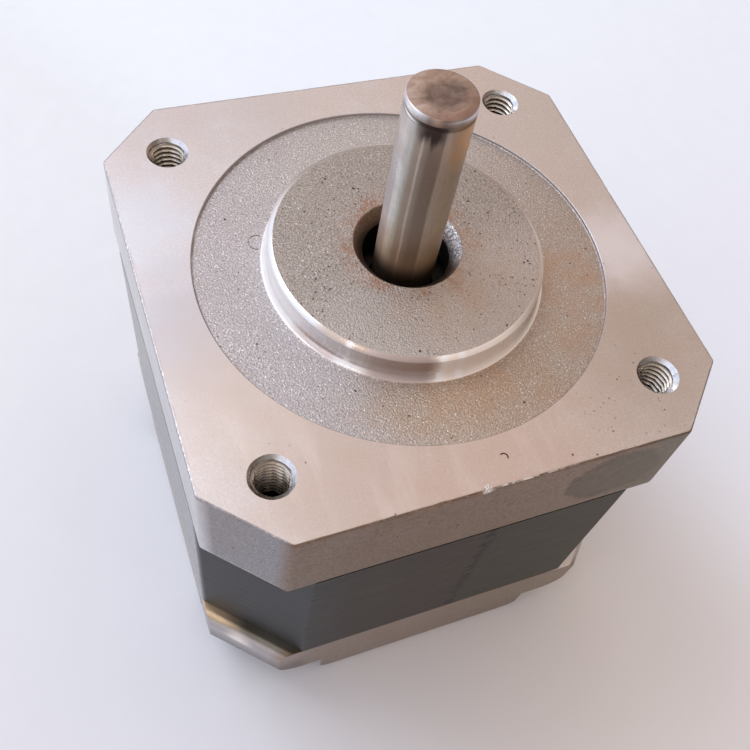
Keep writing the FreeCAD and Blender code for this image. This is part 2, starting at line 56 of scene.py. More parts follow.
def corner(node, side, axis):
    """One coordinate of a CAD node's box, in mm; side 0 is low and 1 is high."""
    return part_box(node)[side][axis] / MM


# Levels and sizes in mm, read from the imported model
BELL = "front_end_bell"
COVER = "rear_end_cover"
STACK = "stator_core"
SHAFT = "rotor_shaft"
FACE_Z = 0.0
BOSS_TOP = corner(BELL, 1, 2)
BELL_LOW = corner(BELL, 0, 2)
BODY_HALF = corner(BELL, 1, 0)
STACK_HALF = corner(STACK, 1, 0)
STACK_LOW = corner(STACK, 0, 2)
REAR_Z = corner(COVER, 0, 2)
TIP_Z = corner(SHAFT, 1, 2)
SHAFT_LOW = corner(SHAFT, 0, 2)
MOUNTS = {m["name"]: m for m in RECORD["mounts"]}
HOLE_AT = MOUNTS["mounting_holes"]["dims"]["spacing_x_mm"] / 2
TAP_R = MOUNTS["mounting_holes"]["dims"]["hole_r_mm"]
BOSS_R = MOUNTS["pilot_boss"]["dims"]["r_mm"]
SHAFT_R = MOUNTS["output_shaft"]["dims"]["r_mm"]

# Details in mm that the frame doesn't give
FACE_HALF = 20.75
BELL_CUT = 5.2
BELL_CORNER_R = 0.5
STACK_CUT = 7.4
RECESS_R = 16.8
RECESS_Z = -0.3
FILLET_R = 0.6
FILLET_STEPS = 7
BORE_R = 3.5
SINK_TOP_R = 4.34
BORE_SINK = 1.05
THREAD_R = 1.5
THREAD_PITCH = 0.5
THREAD_LOW = -5.4
SINK_R = 1.72
SCREW_HOLE_R = 1.7
# How much a cut corner's size shrinks for each mm of inset, so that its own inset is the same
CUT_PER_INSET = 0.586
# |x| + |y| of a point beyond which it lies on the rear cover's cut corners
COVER_CUT_SUM = 35.9


# ---------------------------------------------------------------- materials

# Where a flank towards -X or -Y begins and ends, in mm, for masks
FLANK = (-20.0, -20.7)


def linear(colour):
    """Linear colour from three 0-255 screen values; a node socket passes through."""
    if isinstance(colour, bpy.types.NodeSocket):
        return colour
    parts = [v / 255.0 for v in colour]
    return (*(v / 12.92 if v <= 0.04045 else ((v + 0.055) / 1.055) ** 2.4 for v in parts), 1.0)


class Shade:
    """One procedural material. Coordinates are in mm, in the CAD's frame."""

    def __init__(self, name, metallic=0.0, ior=1.45):
        self.mat = bpy.data.materials.new(name)
        self.mat.use_nodes = True
        self.nodes = self.mat.node_tree.nodes
        self.links = self.mat.node_tree.links
        self.bsdf = self.nodes["Principled BSDF"]
        self.bsdf.inputs["Metallic"].default_value = metallic
        self.bsdf.inputs["IOR"].default_value = ior
        coords = self.nodes.new("ShaderNodeTexCoord")
        self.p = self.vec("SCALE", coords.outputs["Object"], scale=1.0 / MM)
        split = self.nodes.new("ShaderNodeSeparateXYZ")
        self.links.new(self.p, split.inputs[0])
        self.x, self.y, self.z = split.outputs
        self.tone = None

    def put(self, socket, value):
        if isinstance(value, bpy.types.NodeSocket):
            self.links.new(value, socket)
        else:
            socket.default_value = value

    def vec(self, op, a, b=None, scale=None):
        n = self.nodes.new("ShaderNodeVectorMath")
        n.operation = op
        self.put(n.inputs[0], a)
        if b is not None:
            self.put(n.inputs[1], b)
        if scale is not None:
            self.put(n.inputs["Scale"], scale)
        return n.outputs["Value"] if op in ("LENGTH", "DOT_PRODUCT", "DISTANCE") else n.outputs["Vector"]

    def math(self, op, a, b=0.0):
        n = self.nodes.new("ShaderNodeMath")
        n.operation = op
        self.put(n.inputs[0], a)
        self.put(n.inputs[1], b)
        return n.outputs[0]

    def add(self, *terms):
        total = terms[0]
        for t in terms[1:]:
            total = self.math("ADD", total, t)
        return total

    def mul(self, *terms):
        total = terms[0]
        for t in terms[1:]:
            total = self.math("MULTIPLY", total, t)
        return total

    def remap(self, value, lo, hi, a=0.0, b=1.0, smooth=False):
        n = self.nodes.new("ShaderNodeMapRange")
        n.interpolation_type = "SMOOTHSTEP" if smooth else "LINEAR"
        n.clamp = True
        for key, v in (("Value", value), ("From Min", lo), ("From Max", hi), ("To Min", a), ("To Max", b)):
            self.put(n.inputs[key], v)
        return n.outputs["Result"]

    def noise(self, scale, detail=3.0, rough=0.55, stretch=None, distort=0.0, seed=0.0):
        """Noise with features about 1/scale mm across."""
        vector = self.p
        if stretch:
            vector = self.vec("MULTIPLY", vector, stretch)
        if seed:
            vector = self.vec("ADD", vector, (seed, seed * 1.7, seed * 0.6))
        n = self.nodes.new("ShaderNodeTexNoise")
        for key, v in (("Vector", vector), ("Scale", scale), ("Detail", detail),
                       ("Roughness", rough), ("Distortion", distort)):
            self.put(n.inputs[key], v)
        return n.outputs["Fac"]

    def cells(self, scale):
        n = self.nodes.new("ShaderNodeTexVoronoi")
        self.put(n.inputs["Vector"], self.p)
        self.put(n.inputs["Scale"], scale)
        return n.outputs["Distance"], n.outputs["Color"]

    def ramp(self, fac, *stops):
        n = self.nodes.new("ShaderNodeValToRGB")
        self.put(n.inputs["Fac"], fac)
        ramp = n.color_ramp
        while len(ramp.elements) < len(stops):
            ramp.elements.new(0.5)
        for e, (pos, colour) in zip(ramp.elements, stops):
            e.position = pos
            e.color = linear(colour)
        return n.outputs["Color"]

    def mix(self, fac, a, b, blend="MIX"):
        n = self.nodes.new("ShaderNodeMix")
        n.data_type = "RGBA"
        n.blend_type = blend
        self.put(n.inputs["Factor"], fac)
        self.put(n.inputs[6], linear(a))
        self.put(n.inputs[7], linear(b))
        return n.outputs[2]

    def mottle(self, fac, dark, light, lo=0.3, hi=0.7):
        """Two tones, split by a noise."""
        return self.ramp(fac, (lo, dark), (hi, light))

    def fade(self, value, lo, hi, power=1.0):
        """Soft mask: 0 at lo, power at hi."""
        return self.remap(value, lo, hi, 0.0, power, True)

    def most(self, a, b):
        return self.math("MAXIMUM", a, b)

    def inverse(self, mask):
        return self.math("SUBTRACT", 1.0, mask)

    def gap(self, a, b):
        """Size of the difference."""
        return self.math("ABSOLUTE", self.math("SUBTRACT", a, b))

    def along(self, share_x, share_y):
        """Distance along a direction across the face."""
        x = self.x if share_x == 1.0 else self.mul(self.x, share_x)
        return self.add(x, self.mul(self.y, share_y))

    def spread(self, value, low, high):
        """From low to high across the middle of a noise."""
        return self.remap(value, 0.3, 0.7, low, high)

    def radius(self):
        """Distance from the shaft's axis, in mm."""
        flat = self.vec("MULTIPLY", self.p, (1.0, 1.0, 0.0))
        return self.vec("LENGTH", flat)

    def bearing(self):
        """Angle about the shaft's axis, in degrees."""
        return self.math("DEGREES", self.math("ARCTAN2", self.y, self.x))

    def spot(self, at, size, edge=0.5, wobble=0.5, scale=1.2, stretch=(1.0, 1.0, 1.0)):
        """Mask, 1 inside a blotch of this size (mm) about a point, with an uneven edge."""
        d = self.vec("SUBTRACT", self.p, at)
        d = self.vec("MULTIPLY", d, stretch)
        dist = self.math("DIVIDE", self.vec("LENGTH", d), size)
        wander = self.math("MULTIPLY", self.math("SUBTRACT", self.noise(scale, 3.0, 0.6), 0.5), 2.0 * wobble)
        return self.fade(self.math("ADD", dist, wander), 1.0 + edge, 1.0 - edge)

    def over(self, mask, tint, power=1.0):
        """Lay a tint over the colour so far, as strongly as the mask and power say."""
        self.tone = self.mix(mask if power == 1.0 else self.mul(mask, power), self.tone, tint)

    def veil(self, value, lo, hi, tint, power=1.0):
        """Lay a tint over the colour where a value is near hi."""
        self.over(self.remap(value, lo, hi, 0.0, power), tint)

    def filter(self, mask, tint):
        """Multiply the colour so far by a tint."""
        self.tone = self.mix(mask, self.tone, tint, "MULTIPLY")

    def metal(self, value):
        self.put(self.bsdf.inputs["Metallic"], value)

    def done(self, rough, relief, strength, depth):
        """Put colour, roughness and relief (depth in mm) on the shader, and return the material."""
        bump = self.nodes.new("ShaderNodeBump")
        for key, value in (("Strength", strength), ("Distance", depth * MM), ("Height", relief)):
            self.put(bump.inputs[key], value)
        normal = bump.outputs["Normal"]
        for key, value in (("Base Color", self.tone), ("Roughness", rough), ("Normal", normal)):
            self.put(self.bsdf.inputs[key], value)
        return self.mat


def specks(s, scale, amount, seed=0.0):
    """Mask of small dark pits; amount is the share of cells that have one."""
    dist, tint = s.cells(scale)
    pick = s.nodes.new("ShaderNodeSeparateColor")
    s.links.new(tint, pick.inputs[0])
    chosen = s.remap(pick.outputs[0], 1.0 - amount, 1.0 - amount + 0.01)
    size = s.remap(pick.outputs[1], 0.0, 1.0, 0.12, 0.28)
    ragged = s.mul(s.math("SUBTRACT", s.noise(scale * 2.4, 2.0, 0.6, seed=seed + 7.7), 0.5), 0.35)
    near = s.remap(s.add(dist, ragged, s.mul(size, -1.0)), 0.06, -0.06)
    return s.mul(chosen, near, s.remap(s.noise(0.35, 2.0, 0.5, seed=seed + 3.1), 0.35, 0.6))


def cast_metal(name, base, dark, light, pits=0.05, sparkle=0.6, relief=0.03, stains=(), tints=()):
    """Blasted die-cast aluminium with painted glints. stains are patchy marks, painted light among them, and
    tints are broad, even shifts of tone, painted reflection among them.
    """
    s = Shade(name, metallic=1.0)
    grain = s.noise(6.4, 2.0, 0.6)
    fine = s.noise(14.0, 2.0, 0.6, seed=4.0)
    cloud = s.noise(0.16, 4.0, 0.6, seed=9.0)
    s.tone = s.ramp(grain, (0.34, dark), (0.5, base), (0.66, light))
    s.veil(cloud, 0.35, 0.7, s.mottle(fine, dark, base), 0.45)
    for mask, tint in tints:
        s.filter(mask(s), tint)
    # painted glints: bright dots and flecks with lower roughness, the dots fading out towards +X
    painted_glint_dots = s.mul(specks(s, 3.3, 0.42, 9.0), sparkle, s.remap(s.x, 9.0, 1.0))
    glint = s.most(s.mul(s.remap(s.noise(7.5, 2.0, 0.5, seed=2.0), 0.62, 0.70), sparkle), painted_glint_dots)
    s.over(glint, (252, 249, 247))
    for mask, tint in stains:
        s.over(mask(s), tint)
    pit = s.most(specks(s, 2.6, pits), specks(s, 4.6, pits * 2.2, 5.0))
    s.over(pit, (52, 41, 35), 0.95)
    return s.done(s.add(s.spread(grain, 0.54, 0.44), s.mul(glint, -0.16), s.mul(pit, 0.2)),
                  s.add(grain, s.mul(fine, 0.3), s.mul(painted_glint_dots, 0.4), s.mul(pit, -0.6)), 0.9, relief)


def patchy_stain(at, size, edge, wobble=0.5, strength=0.7, scale=1.2, stretch=(1, 1, 1), grain=2.5):
    """Makes a mask: a blotch about a point, broken up by grain."""
    def mask(s):
        body = s.spot(at, size, edge, wobble, scale, stretch)
        return s.mul(body, s.remap(s.noise(grain, 4.0, 0.65, seed=6.0), 0.34, 0.62), strength)
    return mask


def bore_rust(s):
    """Rust around the rim of the boss's bore, in patches."""
    r = s.radius()
    band = s.fade(r, 6.4, 4.5)
    patch = s.remap(s.noise(0.45, 4.0, 0.7, seed=1.5), 0.36, 0.60)
    return s.mul(band, patch, s.remap(s.noise(3.0, 3.0, 0.6, seed=8.0), 0.36, 0.58), 0.72)


def recess_edge(s):
    """Thin dark brown line along the foot of the recess's outer wall, on the -X side."""
    r = s.radius()
    band = s.fade(r, 16.60, 16.74)
    side = s.remap(s.x, 2.0, -9.0)
    return s.mul(band, side, s.remap(s.noise(0.5, 4.0, 0.7, seed=2.5), 0.36, 0.6), 0.5)


def painted_cool_reflection(s):
    """Painted bluish reflection on the metal towards -X."""
    return s.mul(s.fade(s.x, -2.0, -13.0), 0.8)


def painted_light_disc_front(s):
    """Painted light: a lighter tone on the front of the boss's end face."""
    return s.mul(s.fade(s.along(0.25, -1.0), -1.0, 6.5), 0.5)


def warm_front(s):
    """Browner metal on the floor of the recess, in front of the boss."""
    return s.spot((0.0, -13.0, -0.3), 6.0, 0.8, 0.3, 0.3, (0.9, 1.4, 1.0))


def warm_side(s):
    """Browner metal towards +X and -Y."""
    return s.mul(s.fade(s.math("SUBTRACT", s.x, s.mul(s.y, 0.35)), 1.0, 15.0), 0.8)


RUST = (158, 108, 74)
EDGE_LINE_BROWN = (104, 84, 72)
TAN = (186, 152, 122)


def machined_face():
    """Milled and lightly worn face."""
    s = Shade("machined_face", metallic=1.0)
    lines = s.noise(1.0, 3.0, 0.6, stretch=(6.0, 0.5, 1.0))
    fine = s.noise(16.0, 2.0, 0.5)
    cloud = s.noise(0.10, 4.0, 0.6, seed=5.0)
    haze = s.noise(0.35, 4.0, 0.65, seed=11.0)
    s.tone = s.mottle(lines, (211, 205, 203), (216, 210, 208))
    s.veil(cloud, 0.34, 0.66, (214, 198, 190), 0.6)
    s.veil(haze, 0.5, 0.72, (226, 224, 228), 0.35)
    s.veil(fine, 0.55, 0.75, (186, 176, 170), 0.2)
    sand = s.noise(5.5, 2.0, 0.6, seed=17.0)
    s.veil(sand, 0.5, 0.66, (192, 184, 180), 0.35)
    s.veil(sand, 0.44, 0.34, (236, 230, 228), 0.35)
    for at, size, edge, power, tint in (
            ((15.5, -12.0, 0), 7.0, 0.9, 0.45, (178, 160, 146)),
            ((18.4, -3.0, 0), 3.6, 0.8, 0.9, (240, 238, 246)),
            ((-19.0, 8.4, 0), 4.2, 0.8, 0.5, (214, 218, 226)),
            ((-19.4, -3.0, 0), 5.6, 0.9, 0.8, (190, 187, 192)),
            ((-17.0, 19.0, 0), 5.0, 0.9, 0.4, (196, 186, 184)),
            ((-7.0, 19.4, 0), 4.0, 0.9, 0.4, (200, 192, 188)),
            ((-15.6, -9.0, 0), 6.0, 0.9, 0.55, (208, 188, 172)),
            ((-11.0, -18.6, 0), 6.0, 0.9, 0.6, (200, 180, 166)),
            ((0.0, -18.6, 0), 6.5, 0.9, 0.5, (208, 180, 164))):
        s.over(s.spot(at, size, edge, 0.6, 0.3), tint, power)
    smear = s.noise(0.5, 3.0, 0.5, stretch=(1.0, 0.22, 1.0), seed=14.0)
    smear = s.mul(s.fade(smear, 0.48, 0.66, 0.35), s.remap(s.y, -8.0, -14.0), s.remap(s.x, 10.0, 6.0))
    s.over(smear, (226, 214, 208))
    busy = s.spot((13.5, -18.2, 0), 5.5, 0.7, 0.5, 0.5)
    pit = s.most(s.mul(specks(s, 2.9, 0.22, 2.0), busy), specks(s, 3.0, 0.014, 7.0))
    s.over(pit, (70, 54, 44), 0.9)
    # a small curled scratch near the front edge
    curl = s.gap(s.vec("DISTANCE", s.p, (0.69, -18.65, 0)), 0.30)
    curl = s.mul(s.remap(curl, 0.075, 0.03), s.remap(s.math("ADD", s.x, s.y), -17.96, -17.81))
    s.over(curl, (56, 42, 36))
    # three spots of dirt by the front edge, and round the nick bright bare metal with a painted glint
    for at, size in (((5.7, -19.9, 0), 0.10), ((7.5, -20.4, 0), 0.08), ((9.6, -19.0, 0), 0.08)):
        s.over(s.spot(at, size, 0.4, 0.6, 4.0), (96, 72, 60), 0.8)
    nick_and_glint = s.spot((-1.4, -20.62, 0), 0.30, 0.4, 0.7, 5.0)
    s.over(nick_and_glint, s.mottle(sand, (150, 142, 140), (255, 255, 255), 0.42, 0.52))
    # dirt along the outer edge
    outward = s.most(s.math("ABSOLUTE", s.x), s.math("ABSOLUTE", s.y))
    rim = s.remap(outward, FACE_HALF - 0.26, FACE_HALF - 0.12)
    rim = s.mul(rim, s.remap(s.noise(0.7, 4.0, 0.7, seed=3.0), 0.42, 0.6))
    s.over(rim, (150, 118, 98), 0.5)
    # the recess's wall is duller than the face
    wall = s.mul(s.remap(s.z, -0.01, -0.05), s.remap(s.noise(3.0, 3.0, 0.6, seed=9.0), 0.3, 0.7, 1.0, 0.5))
    s.over(wall, (166, 160, 160))
    s.metal(s.add(1.0, s.mul(wall, s.remap(s.y, 0.0, 6.0), -0.8)))
    rough = s.add(s.spread(cloud, 0.34, 0.42), s.mul(fine, 0.06), s.mul(pit, 0.3), s.mul(wall, 0.2))
    relief = s.add(s.mul(lines, 0.15), s.mul(fine, 0.4), sand, s.mul(pit, -1.2), s.mul(curl, -1.0))
    return s.done(rough, relief, 0.3, 0.008)


def polished_ring():
    """Turned bright metal of the boss's edge, with painted reflections, highlights and shade laid round it
    by bearing.
    """
    s = Shade("polished_ring", metallic=1.0)
    r = s.radius()
    turn = s.nodes.new("ShaderNodeTexNoise")
    turn.noise_dimensions = "1D"
    s.put(turn.inputs["W"], s.add(s.mul(r, 9.0), s.mul(s.z, 7.0)))
    turn.inputs["Scale"].default_value = 2.2
    rings = turn.outputs["Fac"]
    cloud = s.noise(0.5, 4.0, 0.65)
    s.tone = s.mottle(rings, (226, 221, 219), (250, 248, 248))
    s.veil(cloud, 0.45, 0.75, (222, 206, 190), 0.35)
    # painted shade: darker and rougher on the far side of the ring
    painted_far_shade = s.fade(s.add(s.mul(s.x, 0.35), s.y), 1.0, 8.0, 0.85)
    s.over(painted_far_shade, (164, 152, 144))
    # painted shade: the wall darker and browner, and the chamfer duller, from the -X side round to the front
    # and +X, as darker reflections
    round_front = s.remap(s.along(1.0, -0.55), -6.5, 4.0)
    bearing = s.bearing()

    def arc(start, full, easing, end):
        """Part of the ring between two bearings, with soft ends."""
        return s.mul(s.fade(bearing, start, full), s.fade(bearing, end, easing))

    painted_bright_part = arc(-103.0, -94.0, -72.0, -36.0)
    wall = s.mul(s.remap(s.z, 0.35, 0.8), s.remap(s.z, 1.78, 1.62), round_front, s.inverse(painted_bright_part))
    s.over(wall, (158, 138, 122), 0.75)
    on_chamfer = s.remap(s.z, 1.72, 1.8)
    chamfer = s.mul(on_chamfer, s.remap(s.along(1.0, -0.55), -2.5, 5.0))
    s.over(chamfer, (196, 178, 166), 0.55)
    # painted reflection: the turned metal painted brighter and less metallic round the right-hand side
    s.over(painted_bright_part, (255, 240, 228), 0.85)
    # painted reflection: warmer, darker tints on the chamfer and on the foot over set bearings
    warm = s.mul(on_chamfer, arc(-153.0, -144.0, -128.0, -122.0))
    s.filter(warm, (224, 209, 196))
    foot = s.mul(s.remap(s.z, 0.5, 0.2), arc(-163.0, -154.0, -141.0, -136.0))
    s.filter(foot, (234, 221, 214))
    # painted reflection: a duller, mauve stretch round the front
    painted_dull_front = arc(-129.0, -122.0, -103.0, -97.0)
    s.over(painted_dull_front, (154, 122, 110), 0.55)
    grime = s.remap(s.noise(1.3, 4.0, 0.7, seed=2.0), 0.64, 0.74)
    s.over(grime, (120, 98, 82), 0.4)
    # painted light: the wall lighter and less metallic on the -X side, which faces the bright surroundings
    painted_lit_left_wall = s.mul(s.remap(s.z, 1.8, 1.6), s.fade(s.along(1.0, -0.3), -7.6, -9.8))
    s.over(s.mul(painted_lit_left_wall, s.remap(s.z, 0.2, 0.6)), (255, 253, 252), 0.7)
    # narrow bright bands across the ring, in place of the reflections of a room
    flash = 0.0
    for at, half in ((-133.8, 1.7), (-96.4, 1.9), (-88.8, 1.5)):
        flash = s.most(flash, s.fade(s.gap(bearing, at), 1.5 * half, 0.0))
    on_wall = s.mul(s.remap(s.z, 0.2, 0.45), s.remap(s.z, 1.78, 1.62))
    flash = s.mul(flash, s.add(1.0, s.mul(on_wall, -0.75)))
    s.over(flash, (255, 252, 250), 0.9)
    bare = s.add(1.0, s.mul(painted_lit_left_wall, -0.8), s.mul(painted_bright_part, -0.9), s.mul(painted_dull_front, -0.55), s.mul(flash, -0.6))
    s.metal(s.most(0.05, bare))
    rough = s.add(s.spread(cloud, 0.18, 0.28), s.mul(grime, 0.2), s.mul(painted_far_shade, 0.3), s.mul(painted_lit_left_wall, 0.15))
    return s.done(rough, rings, 0.2, 0.005)


def bell_side():
    """As-cast flanks of the front bell: painted light makes the -X flank brighter, painted shade makes the
    front flank darker, and the front one is stained near its right end.
    """
    s = Shade("bell_side", metallic=1.0)
    grain = s.noise(6.0, 3.0, 0.6)
    streak = s.noise(1.0, 4.0, 0.65, stretch=(0.5, 0.5, 2.2), seed=3.0)
    cloud = s.noise(0.3, 4.0, 0.6, seed=1.0)
    left = s.mul(s.remap(s.x, *FLANK), s.remap(s.z, -0.1, -0.4))
    front = s.remap(s.y, *FLANK)
    s.tone = s.mottle(grain, (130, 127, 129), (168, 165, 166))
    # painted light: the -X flank lighter
    s.over(left, s.mottle(grain, (207, 205, 206), (219, 217, 218)))
    coarse = s.noise(4.2, 3.0, 0.65, seed=6.0)
    # painted shade: the front flank darker and browner
    s.over(front, s.mottle(coarse, (114, 97, 83), (152, 132, 115)))
    s.veil(cloud, 0.4, 0.7, (150, 136, 124), 0.25)
    s.veil(streak, 0.6, 0.75, (120, 106, 98), 0.3)
    oval = s.spot((10.4, -20.8, -4.2), 1.0, 0.10, 0.26, 0.6, (0.245, 0.2, 0.27))
    heart = s.spot((10.6, -20.8, -4.2), 1.0, 0.24, 0.30, 0.6, (0.285, 0.2, 0.33))
    blotch = s.remap(s.noise(1.1, 4.0, 0.65, seed=8.0), 0.38, 0.62, 0.55, 1.0)
    s.over(s.mul(oval, blotch), (74, 67, 56), 0.82)
    s.over(heart, (118, 110, 94), 0.38)
    end = s.mul(front, s.remap(s.x, 10.0, 14.0))
    s.over(end, (104, 100, 86), 0.6)
    lift = s.mul(s.remap(s.z, -0.55, -0.1), front)
    s.over(s.mul(lift, s.remap(streak, 0.40, 0.6)), (104, 74, 56), 0.5)
    worn_edge = s.mul(s.remap(s.z, -0.3, -0.08), s.inverse(front), s.remap(streak, 0.45, 0.6))
    fleck = s.remap(s.noise(3.2, 3.0, 0.7, seed=12.0), 0.50, 0.66)
    rim = s.mix(fleck, (172, 165, 166), (236, 230, 226))
    # painted highlight along the top edge of the -X flank
    painted_lit_left_rim = s.mul(s.remap(s.x, *FLANK), s.remap(s.z, -0.4, -0.1), 0.8)
    s.over(s.most(s.mul(worn_edge, 0.5), painted_lit_left_rim), rim)
    # rust flecks along the front edge, the nick's bright bare metal with a painted glint, and a painted
    # highlight along the edge beside it
    rust = s.mul(front, s.remap(s.z, -0.5, -0.1), s.remap(s.x, -7.5, -5.5), s.remap(s.x, -1.0, -2.0), fleck)
    s.over(rust, (190, 146, 114), 0.7)
    nick_and_glint = s.mul(s.spot((-1.4, -20.68, -0.06), 0.42, 0.4, 0.7, 4.0), s.remap(fleck, 0.0, 0.5, 0.45, 1.0))
    painted_edge_highlight = s.mul(front, s.remap(s.z, -0.07, -0.03), s.remap(s.x, -1.2, -0.6), s.remap(s.x, 6.5, 2.0))
    painted_edge_highlight = s.mul(painted_edge_highlight, s.remap(s.noise(1.6, 3.0, 0.7, seed=15.0), 0.40, 0.56))
    bright = s.most(nick_and_glint, s.mul(painted_edge_highlight, 0.75))
    s.over(bright, (255, 246, 236))
    chips = s.mul(s.remap(s.z, -8.1, -8.6), s.inverse(front), fleck)
    s.over(chips, (216, 214, 216), 0.7)
    # painted light: the front's lower chamfer lighter and less metallic, so that it is not dark
    painted_light_low_edge = s.mul(s.remap(s.z, -8.60, -8.70), front)
    s.over(painted_light_low_edge, (176, 156, 140), 0.8)
    pit = specks(s, 2.6, 0.03, 5.0)
    s.over(pit, (66, 52, 44), 0.8)
    s.metal(s.add(1.0, s.mul(s.most(bright, s.mul(painted_light_low_edge, 0.8)), -0.85)))
    return s.done(s.add(s.spread(grain, 0.44, 0.37), s.mul(left, -0.13), s.mul(pit, 0.3)),
                  s.add(grain, s.mul(pit, -1.0), s.mul(streak, 0.3)), 0.5, 0.018)


def bore_wall():
    """Cone and wall of the boss's bore: rough and brown, with painted glitter of bright metal on the +X side
    and painted shade low in the bore.
    """
    s = Shade("bore_wall", metallic=1.0)
    grain = s.noise(6.0, 2.0, 0.6)
    turn = s.noise(1.0, 3.0, 0.6, stretch=(1.0, 1.0, 9.0), seed=2.0)
    s.tone = s.mottle(grain, (112, 98, 86), (142, 126, 112))
    # painted glitter: bright metal on the +X side, which faces the light
    painted_bright_part = s.remap(s.along(1.0, 0.4), 1.6, 3.0)
    sparkle = s.ramp(grain, (0.38, (150, 148, 148)), (0.5, (200, 200, 204)), (0.62, (250, 250, 252)))
    s.over(painted_bright_part, sparkle)
    rust = s.mul(s.remap(s.noise(1.2, 4.0, 0.7, seed=6.0), 0.5, 0.64), s.remap(s.z, 1.2, 1.9), 0.6)
    s.over(rust, (120, 80, 54))
    # painted shade low in the bore, near black
    painted_deep_shade = s.remap(s.z, 0.98, 0.86)
    s.over(painted_deep_shade, (22, 18, 16), 0.95)
    return s.done(s.add(s.spread(grain, 0.5, 0.34), s.mul(painted_deep_shade, 0.3)),
                  s.add(grain, s.mul(turn, 0.3)), 0.7, 0.04)


def thread_metal():
    """Cut thread: bright crests, dark roots, and a smooth countersink, with painted shade lower in the hole.
    """
    s = Shade("thread_metal", metallic=1.0)
    fine = s.noise(3.0, 3.0, 0.6)
    fold = s.vec("ABSOLUTE", s.vec("MULTIPLY", s.p, (1.0, 1.0, 0.0)))
    r = s.vec("DISTANCE", fold, (HOLE_AT, HOLE_AT, 0.0))
    side = s.math("SUBTRACT", s.math("MODULO", s.add(s.x, 100.0 * HOLE_AT), 2.0 * HOLE_AT), HOLE_AT)
    s.tone = s.mottle(fine, (196, 184, 168), (236, 228, 218))
    sink = s.remap(s.z, -0.50, -0.42)
    s.over(sink, s.mottle(fine, (204, 204, 206), (240, 242, 248)))
    brown = s.mul(sink, s.remap(side, 0.5, -0.9))
    s.over(brown, (150, 130, 112), 0.75)
    root = s.mul(s.remap(r, TAP_R + 0.05, THREAD_R - 0.05), s.remap(s.z, -0.42, -0.5))
    s.over(root, (72, 58, 48), 0.85)
    # painted shade: darker lower down the hole, near black at the foot of the thread
    s.veil(s.z, -3.4, -5.4, (70, 62, 54), 0.5)
    s.veil(s.z, THREAD_LOW + 0.1, THREAD_LOW - 0.1, (20, 18, 16), 0.9)
    return s.done(s.add(s.spread(fine, 0.22, 0.30), s.mul(root, 0.3)), fine, 0.2, 0.008)


def inner_cast():
    """Inside of a casting, with the turned bearing seat."""
    return cast_metal("inner_cast", (150, 146, 144), (112, 108, 106), (190, 188, 186), 0.04, 0.3, 0.04)


def cover_metal():
    """Rear casting: satin, duller, with painted shadow on the ledge (tan at its left end), painted shade low
    on the cut corner, and painted highlights on the corner's top edge and the ledge's right end.
    """
    s = Shade("rear_cover_metal", metallic=1.0)
    grain = s.noise(5.5, 3.0, 0.6)
    cloud = s.noise(0.22, 4.0, 0.6, seed=4.0)
    s.tone = s.mottle(grain, (160, 154, 148), (184, 178, 172))
    s.veil(cloud, 0.35, 0.7, (164, 154, 140), 0.5)
    left = s.remap(s.add(s.x, s.y), -33.2, -34.6)
    s.over(left, (190, 186, 188), 0.5)
    # the ledge under the stack: darker as painted shadow of the stack, tan at its left end
    ledge = s.remap(s.z, -28.1, -27.9)
    s.over(ledge, s.mottle(cloud, (104, 100, 90), (124, 118, 106)))
    s.over(s.mul(ledge, s.remap(s.along(1.0, -0.4), -11.0, -13.5)), (200, 174, 142))
    # painted shade: the cut corner darker towards its lower, rounded edge
    cut = s.mul(left, s.fade(s.z, -28.9, -32.6))
    s.over(cut, (108, 101, 97), 0.8)
    front = s.remap(s.y, *FLANK)
    s.filter(front, (234, 216, 202))
    s.filter(s.mul(front, s.fade(s.x, -4.0, 10.0, 0.8)), (228, 226, 214))
    # painted highlights on the cut corner's rounded top edge and at the ledge's right end, both less
    # metallic
    painted_shine = s.spot((-18.6, -17.7, -28.9), 0.8, 0.9, 0.2, 0.8, (0.8, 0.8, 1.3))
    painted_lit_ledge_end = s.mul(ledge, s.remap(s.x, 12.0, 14.0))
    s.over(s.most(painted_shine, s.mul(painted_lit_ledge_end, 0.8)), (255, 246, 236))
    rub = s.remap(s.noise(1.2, 5.0, 0.7, seed=3.0), 0.62, 0.72)
    s.over(rub, (112, 102, 94), 0.25)
    pit = specks(s, 2.4, 0.02, 3.0)
    s.over(pit, (72, 62, 54), 0.7)
    s.metal(s.add(1.0, s.mul(painted_shine, -0.6), s.mul(painted_lit_ledge_end, -0.8)))
    return s.done(s.add(s.spread(grain, 0.36, 0.28), s.mul(rub, 0.12), s.mul(pit, 0.3)),
                  s.add(grain, s.mul(pit, -1.0)), 0.4, 0.015)


